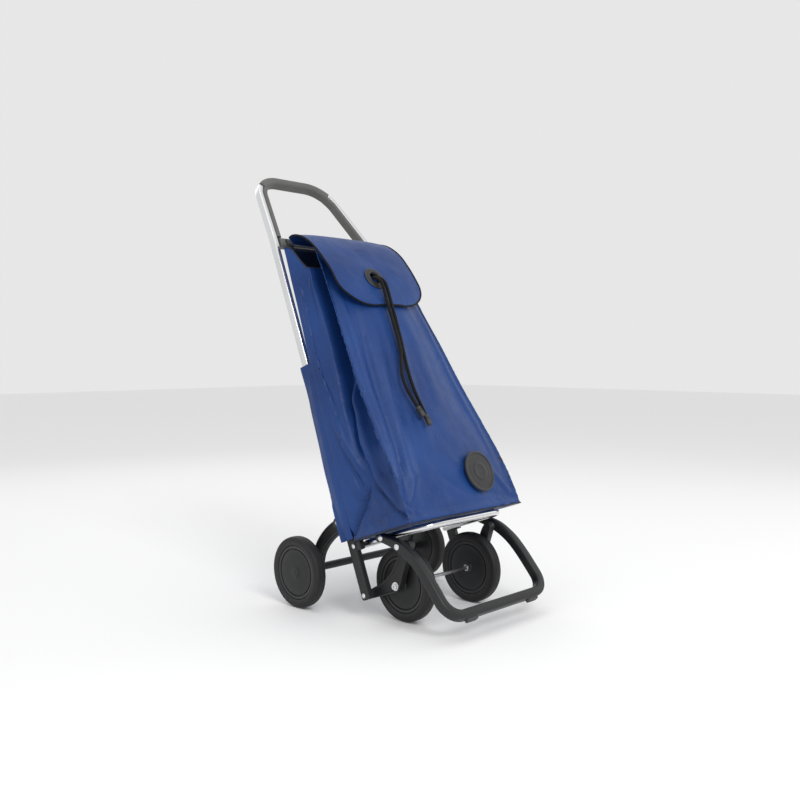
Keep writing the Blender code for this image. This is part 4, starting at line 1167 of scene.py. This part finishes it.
def make_rails(aluminium):
    """The two drawn tubes, bending back at the crossbar into the handle's legs."""
    half = RAIL_WIDTH / 2
    middle = RAIL_INNER_X + half
    for name, side in SIDES:
        path = [Vector((side * middle, RAIL_Y, z)) for z in (0.2003, 0.36, 0.54, 0.70, 0.82)]
        turn = [(handle_point(side * x, s),
                 handle_point(side * inward[0], inward[1]) - handle_point(0.0, 0.0))
                for x, s, inward in handle_outline(half, 0.022, 37.0, 14)]
        low = Vector((side * middle, RAIL_Y, 0.845))
        corner = Vector((side * middle, RAIL_Y, CROSSBAR_Z - 0.001))
        for t in (k / 8 for k in range(8)):
            path.append(low * (1 - t) ** 2 + corner * (2 * t * (1 - t)) + turn[0][0] * t * t)
        across = [Vector((-side, 0, 0))] * len(path) + [a for _, a in turn]
        path += [p for p, _ in turn]
        section = rounded(RAIL_WIDTH, RAIL_DEPTH, 0.0026, 4)
        ring_solid("rail_tube_" + name, sweep_rings(path, section, across), aluminium,
                   "back_frame", "side_rail_" + name)


def make_grip(plastic):
    """The moulded grip: inside the tubes' bends at its ends, and all round across the top."""
    rail = RAIL_WIDTH + 0.0004
    half = []
    for x, s, inward in handle_outline(0.0, 0.0185, 90.0, 44, 10):
        turn = math.degrees(math.atan2(-inward[1], -inward[0]))
        share = ease(min(1.0, max(0.0, (turn - 38.6) / 1.6)))
        half.append((x, s, inward, share))
    mirrored = [(-x, s, (-inward[0], inward[1]), share) for x, s, inward, share in half[-2::-1]]
    rings = []
    for x, s, inward, share in half + mirrored:
        width = 0.0120 + 0.0118 * share
        ring = []
        for a, b in rounded(width, 0.0235 + 0.0035 * share, 0.0042 + 0.0040 * share, 6):
            reach = rail * (1 - share) + width / 2 + a
            ring.append(handle_point(x + inward[0] * reach, s + inward[1] * reach, b))
        rings.append(ring)
    ring_solid("grip_moulding", rings, plastic, "back_frame", "handle_grip", 50.0)


def make_crossbar(plastic, black):
    """The square bar between the rails, and the two clips that hold the bag to it."""
    reach = RAIL_INNER_X - 0.0055
    rings = []
    for x, shrink in ((-reach, 0.0012), (-reach + 0.0012, 0.0), (reach - 0.0012, 0.0),
                      (reach, 0.0012)):
        size = 0.022 - 2 * shrink
        rings.append([(x, RAIL_Y + a, CROSSBAR_Z + b)
                      for a, b in rounded(size, size, 0.0045 - shrink, 6)])
    ring_solid("crossbar_moulding", rings, plastic, "back_frame", "crossbar")
    top = RAIL_Y - 0.011 - GAP
    outline = ((top, 0.871), (top - 0.0022, 0.8716), (top - 0.0042, 0.869),
               (top - 0.0046, 0.852), (top - 0.0040, 0.836), (top - 0.0022, 0.8335),
               (top, 0.834))
    for name, side in SIDES:
        plate("hem_clip_" + name, outline, side * 0.119, side * 0.137, black, "back_frame",
              "bag_hook_" + name, 0.0007)


def leg_ribs(side):
    """The ribs standing out of a leg's outer face, between its pins."""
    section = ((0.0, -0.0007), (0.0008, -0.0004), (0.0010, 0.0), (0.0008, 0.0004), (0.0, 0.0007))
    bm = bmesh.new()
    for y in (0.0642, 0.0682, 0.0722, 0.0762, 0.0802):
        for low, high in ((0.016, 0.096), (0.124, 0.160), (0.184, 0.197)):
            ends = ((low, 0.1), (low + 0.001, 1.0), (high - 0.001, 1.0), (high, 0.1))
            add_rings(bm, [[(side * (FOOT_OUTER_X - 0.0002 + a * share), y + b, z)
                            for a, b in section] for z, share in ends])
    return bm


def make_feet(black, bright):
    """Ribbed lower legs, each with a hinge block in front and a lug behind."""
    outline = arc((0.0675, -0.0045), 0.0060, 180, 270, 5)
    outline += arc((0.0795, -0.0045), 0.0060, 270, 360, 5)
    outline += [(0.0855, 0.144), (0.090, 0.1470), (0.104, 0.155)]
    outline += arc((0.104, 0.1720), 0.0125, -48, 58, 8)
    outline += [(0.096, 0.190), (0.0890, 0.1935), (0.0855, 0.197), (0.0845, 0.200),
                (0.0615, 0.200)]
    block = ((0.0612, 0.0985), (0.0612, 0.1215), (0.0560, 0.1230), (0.0470, 0.1230),
             (0.0455, 0.1215), (0.0455, 0.1000), (0.0470, 0.0985))
    for name, side in SIDES:
        plate("leg_" + name, outline, side * RAIL_INNER_X, side * FOOT_OUTER_X, black,
              "back_frame", "rail_foot_" + name, 0.0010)
        solid("leg_ribs_" + name, leg_ribs(side), black, "back_frame",
              smooth=60.0)
        plate("hinge_block_" + name, block, side * (RAIL_INNER_X + 0.0004),
              side * (FOOT_OUTER_X - 0.001), black, "back_frame", None, 0.0010)
        for kind, place, radius, height in (("base", BASE_HINGE, 0.0056, 0.0032),
                                            ("carriage", CARRIAGE_PIVOT, 0.0056, 0.0032),
                                            ("rear", REAR_HINGE, 0.0064, 0.0028)):
            rivet(kind + "_rivet_" + name, place, side, FOOT_OUTER_X, radius, height, bright,
                  "back_frame", kind + "_pin_" + name)


def make_base(bright, board):
    """The bent tube under the bag, sloping to the front, and the board inside the bag."""
    radius = BASE_CORNER_RADIUS
    sides = [(BASE_TUBE_X, BASE_HINGE[0] + 0.008 - 0.013 * k) for k in range(9)]
    sides = [p for p in sides if p[1] > BASE_FRONT_Y + radius + 0.004]
    corner = arc((BASE_TUBE_X - radius, BASE_FRONT_Y + radius), radius, 0, -90, 22)
    plan = sides + corner + [(0.05, BASE_FRONT_Y), (0.02, BASE_FRONT_Y)]
    path = mirrored_path([Vector((x, y, BASE_TUBE_Z - BASE_SLOPE * (BASE_HINGE[0] - y)))
                          for x, y in plan])
    upright = [Vector((0, 0, 1))] * len(path)
    ring_solid("base_bent_tube", sweep_rings(path, circle(BASE_TUBE_RADIUS, 28), upright), bright,
               "base", "base_tube")
    rings = []
    for z, shrink in ((0.1213, 0.0), (0.1249, 0.0), (0.1253, 0.0006)):
        rings.append([(a, b - 0.034, z) for a, b in
                      rounded(0.296 - 2 * shrink, 0.136 - 2 * shrink, 0.02 - shrink, 8)])
    ring_solid("floor_board", rings, board, "base", "base_board")
    for name, side in SIDES:
        rivet("stand_pivot_rivet_" + name, STAND_PIVOT, side, STAND_OUTER_X, 0.0070, 0.0032,
              bright, "base", "stand_rivet_" + name)


def stand_path():
    """The stand's middle line down one arm, across its foot and up the other; its arm's points."""
    middle = STAND_OUTER_X - STAND_WIDTH / 2
    route = smooth_route([(0.0, y, z) for y, z in STAND_ARM_LINE], 0.0055)
    half = [Vector((middle, p.y, p.z)) for p in route]
    foot = route[-1]
    down = (foot - route[-2]).normalized()
    radius = STAND_CORNER_RADIUS
    for k in range(1, 19):
        angle = math.pi / 2 * k / 18
        travel = down * (radius * math.sin(angle))
        half.append(Vector((middle - radius * (1 - math.cos(angle)), foot.y + travel.y,
                            foot.z + travel.z)))
    last = half[-1]
    half += [Vector((x, last.y, last.z)) for x in (0.09, 0.05)]
    return mirrored_path(half), len(route)


def make_stand(black, rubber, bright):
    """The moulded loop with its two rubber pads and the rivets of its links."""
    path, arm_count = stand_path()
    normal = Vector((0.0, -math.cos(STAND_TILT), math.sin(STAND_TILT)))
    across = []
    for i, p in enumerate(path):
        along = along_at(path, i)
        straight = Vector((-1 if p.x > 0 else 1, 0, 0))
        across.append(straight if abs(along.x) <= 0.01 else along.cross(normal))

    def section(i):
        share = min(1.0, min(i, len(path) - 1 - i) / (arm_count // 3))
        depth = STAND_TOP_DEPTH + (STAND_DEPTH - STAND_TOP_DEPTH) * share
        return rounded(STAND_WIDTH, depth, 0.0058, 6)

    ring_solid("stand_moulding", sweep_rings(path, section, across), black, "stand",
               "stand_loop", 50.0)
    drop = Vector((0.0, -SIN, -COS))
    ahead = Vector((0.0, -COS, SIN))
    for name, side in SIDES:
        centre = Vector((side * 0.105, *STAND_BAR))
        rings = []
        for depth, shrink in ((0.0120, 0.0), (0.0172, 0.0), (0.0182, 0.0008), (0.0188, 0.0022)):
            rings.append([centre + drop * depth + Vector((a, 0, 0)) + ahead * b for a, b in
                          rounded(0.034 - shrink, 0.014 - shrink, 0.004, 6)])
        ring_solid("pad_" + name, rings, rubber, "stand", "stand_pad_" + name)
        rivet("link_pivot_rivet_" + name, LINK_POINT, side, STAND_OUTER_X, 0.0070, 0.0032,
              bright, "stand", "link_rivet_" + name)


def make_carriage(black, bright, steel):
    """The two brackets of the front wheels, with their axle, bolts and washers."""
    top, rear, front = LINK_POINT, CARRIAGE_PIVOT, (0.0, 0.0)
    hollow = [(rear[0] - 0.012, 0.0125), (0.040, 0.0155), (0.012, 0.0255), (-0.012, 0.040),
              (-0.033, 0.058), (-0.0465, 0.073), (top[0] + 0.012, top[1] + 0.0045)]
    hollow = [(p.y, p.z) for p in smooth_route([(0.0, y, z) for y, z in hollow], 0.006)]
    outline = (arc(rear, 0.0105, -90, 70, 12) + hollow + arc(top, 0.0105, 40, 200, 14)
               + arc(front, 0.0125, 205, 262, 10))
    start = 0.1440
    head = ((0.0042, start - 0.004), (0.0098, start), (0.0098, start + 0.0010),
            (0.0090, start + 0.0016), (0.0068, start + 0.0016), (0.0068, start + 0.0052),
            (0.0060, start + 0.0060), (0.0042, start + 0.0060))
    washer = ((AXLE_BORE, 0.0925), (AXLE_BORE, 0.0975), (0.0070, 0.0975), (0.0077, 0.0968),
              (0.0077, 0.0932), (0.0070, 0.0925))
    for name, side in SIDES:
        plate("quadrant_" + name, outline, side * 0.1285, side * 0.146, black, "carriage",
              "wheel_bracket_" + name, 0.0010, (0.0034, 0.0022))
        rings = [[(side * x, a, b) for a, b in circle(radius, 48)] for radius, x in head]
        rings += [[(side * x, a, b) for a, b in hexed(0.0030)]
                  for x in (start + 0.0060, start + 0.0030)]
        ring_solid("socket_bolt_" + name, rings, bright, "carriage",
                   "axle_bolt_" + name)
        turned("wheel_washer_" + name, washer, (0, 0, 0), steel, "carriage",
               "axle_nut_" + name, 48, closed=True, side=side)
    turned("axle_rod_front", rod_profile(0.004, 0.1455, 0.0004), (0, 0, 0), steel, "carriage",
           "front_axle", 40)


def rear_arm_outline():
    """A bent arm that narrows a little from the hinge to the axle, with round ends."""
    line = smooth_route([(0, *REAR_HINGE), (0, 0.160, 0.1585), (0, 0.205, 0.134), (0, *REAR_AXLE)],
                        0.005)
    hinge_radius, axle_radius = 0.0165, 0.0150
    widths = np.linspace(hinge_radius, axle_radius, len(line))
    upper, lower = [], []
    for i, p in enumerate(line):
        along = along_at(line, i)
        normal = Vector((0.0, -along.z, along.y)) * float(widths[i])
        upper.append((p.y + normal.y, p.z + normal.z))
        lower.append((p.y - normal.y, p.z - normal.z))
    first = math.degrees(math.atan2(upper[0][1] - REAR_HINGE[1], upper[0][0] - REAR_HINGE[0]))
    last = math.degrees(math.atan2(lower[-1][1] - REAR_AXLE[1], lower[-1][0] - REAR_AXLE[0]))
    start_cap = arc(REAR_HINGE, hinge_radius, first, first + 180, 18)[1:-1]
    end_cap = arc(REAR_AXLE, axle_radius, last, last + 180, 18)[1:-1]
    return upper + end_cap[::-1] + lower[::-1] + start_cap[::-1]


def make_rear(black, steel):
    """The two rear arms, the axle between them and the sleeve round it."""
    outline = rear_arm_outline()
    for name, side in SIDES:
        plate("rear_leg_" + name, outline, side * 0.142, side * 0.156, black, "rear_arms",
              "rear_arm_" + name, 0.0012, (0.0040, 0.0020))
    middle = (0.0, *REAR_AXLE)
    turned("axle_rod_rear", rod_profile(0.005, 0.2100, 0.0004), middle, steel, "rear_arms",
           "rear_axle_rod", 40)
    sleeve = ((REAR_AXLE_BORE, -0.1900), (REAR_AXLE_BORE, 0.1900), (0.0086, 0.1900),
              (0.009, 0.1896), (0.009, -0.1896), (0.0086, -0.1900))
    turned("axle_sleeve", sleeve, middle, black, "rear_arms",
           "rear_axle_tube", 48, closed=True)


def wheel_profile(blind, bore):
    """Face of a solid moulded wheel: a dished disc, two concentric grooves and a hub boss."""
    face = WHEEL_WIDTH / 2 - 0.0022
    boss = face + (0.0010 if blind else 0.0018)
    return [(0.0008 if blind else bore, boss), (0.0105, boss), (0.0118, face + 0.0008),
            (0.0130, face - 0.0006), (0.030, face - 0.0016), (0.0520, face - 0.0012),
            (0.0528, face - 0.0014), (0.0533, face - 0.0034), (0.0549, face - 0.0036),
            (0.0554, face - 0.0014), (0.0562, face - 0.0008), (0.0612, face - 0.0004),
            (0.0617, face - 0.0010), (0.0621, face - 0.0040)]


def tyre_profile():
    """Outer half of a tyre's section, from its bead round to the groove in its middle."""
    half = WHEEL_WIDTH / 2
    side = [(0.0624, half - 0.0062), (0.0628, half - 0.0020), (0.0640, half - 0.0008),
            (0.0680, half), (0.0730, half - 0.0002), (0.0770, half - 0.0010)]
    side += [(0.0770 + 0.0048 * math.sin(a), half - 0.0060 + 0.0050 * math.cos(a))
             for a in np.linspace(0.25, 1.35, 7)]
    side += [(0.0822, half - 0.0080), (WHEEL_RADIUS, half - 0.0105),
             (WHEEL_RADIUS, 0.0006), (WHEEL_RADIUS - 0.0004, 0.0003)]
    return side


def make_wheel(name, side, centre_x, place, blind, bore, rubber, black):
    """A tyre on its moulded disc; blind closes the disc's outer face over the axle."""
    centre = (side * centre_x, *place)
    half = tyre_profile()
    turned(name + "_tread", half + [(r, -x) for r, x in reversed(half)], centre, rubber, name,
           name + "_tyre", 128, closed=True, side=side, smooth=28.0)
    profile = wheel_profile(blind, bore)
    profile += [(r, -x) for r, x in reversed(wheel_profile(False, bore))]
    if blind:
        profile += [(bore, -WHEEL_WIDTH / 2 + 0.002), (bore, 0.008), (0.0008, 0.008)]
    turned(name + "_disc", profile, centre, black, name, name + "_hub", 96,
           closed=not blind, side=side, smooth=28.0)


# ---------------------------------------------------------------- everything
def build():
    make_camera()
    braid = cord_material("braid", (0.006, 0.006, 0.007))
    tip = plastic_material("tip_plastic", (0.020, 0.020, 0.021), 0.42)
    make_cords(braid, tip)
    make_stage()
    cloth = fabric_material("polyester", (0.0045, 0.029, 0.135), (0.010, 0.052, 0.210))
    lining = fabric_material("lining", (0.004, 0.010, 0.034), (0.007, 0.018, 0.060))
    trim = fabric_material("binding", (0.012, 0.014, 0.022), (0.022, 0.025, 0.036))
    aluminium = metal_material("drawn_aluminium", (0.80, 0.81, 0.82), 0.24, (700, 60, 3))
    bright = metal_material("bright_steel", (0.74, 0.74, 0.75), 0.14)
    steel = metal_material("dull_steel", (0.50, 0.50, 0.51), 0.30)
    black = plastic_material("black_moulding", (0.009, 0.0095, 0.0105), 0.40)
    disc = plastic_material("disc_moulding", (0.008, 0.0085, 0.0095), 0.44)
    grey = plastic_material("grip_grey", (0.092, 0.092, 0.088), 0.50)
    rubber = plastic_material("tyre_rubber", (0.008, 0.008, 0.009), 0.58, 700.0)
    pad = plastic_material("pad_rubber", (0.040, 0.040, 0.042), 0.70, 500.0)
    board = plastic_material("board_fibre", (0.055, 0.054, 0.052), 0.80, 300.0)
    dark_plastic = plastic_material("badge_plastic", (0.018, 0.018, 0.020), 0.40)
    make_rails(aluminium)
    make_grip(grey)
    make_crossbar(grey, black)
    make_feet(black, bright)
    make_base(bright, board)
    make_stand(black, pad, bright)
    make_carriage(black, bright, steel)
    make_rear(black, steel)
    for name, side in SIDES:
        make_wheel("front_wheel_" + name, side, FRONT_WHEEL_X, (0.0, 0.0), False, AXLE_BORE,
                   rubber, disc)
        make_wheel("rear_wheel_" + name, side, REAR_WHEEL_X, REAR_AXLE, True, REAR_AXLE_BORE,
                   rubber, disc)
    grid = bag_grid()
    make_bag(grid, cloth, lining)
    make_floor(grid, cloth)
    make_hem(grid, trim)
    make_sleeves(cloth)
    make_badge(dark_plastic)
    make_flap(cloth, braid, dark_plastic)


build()
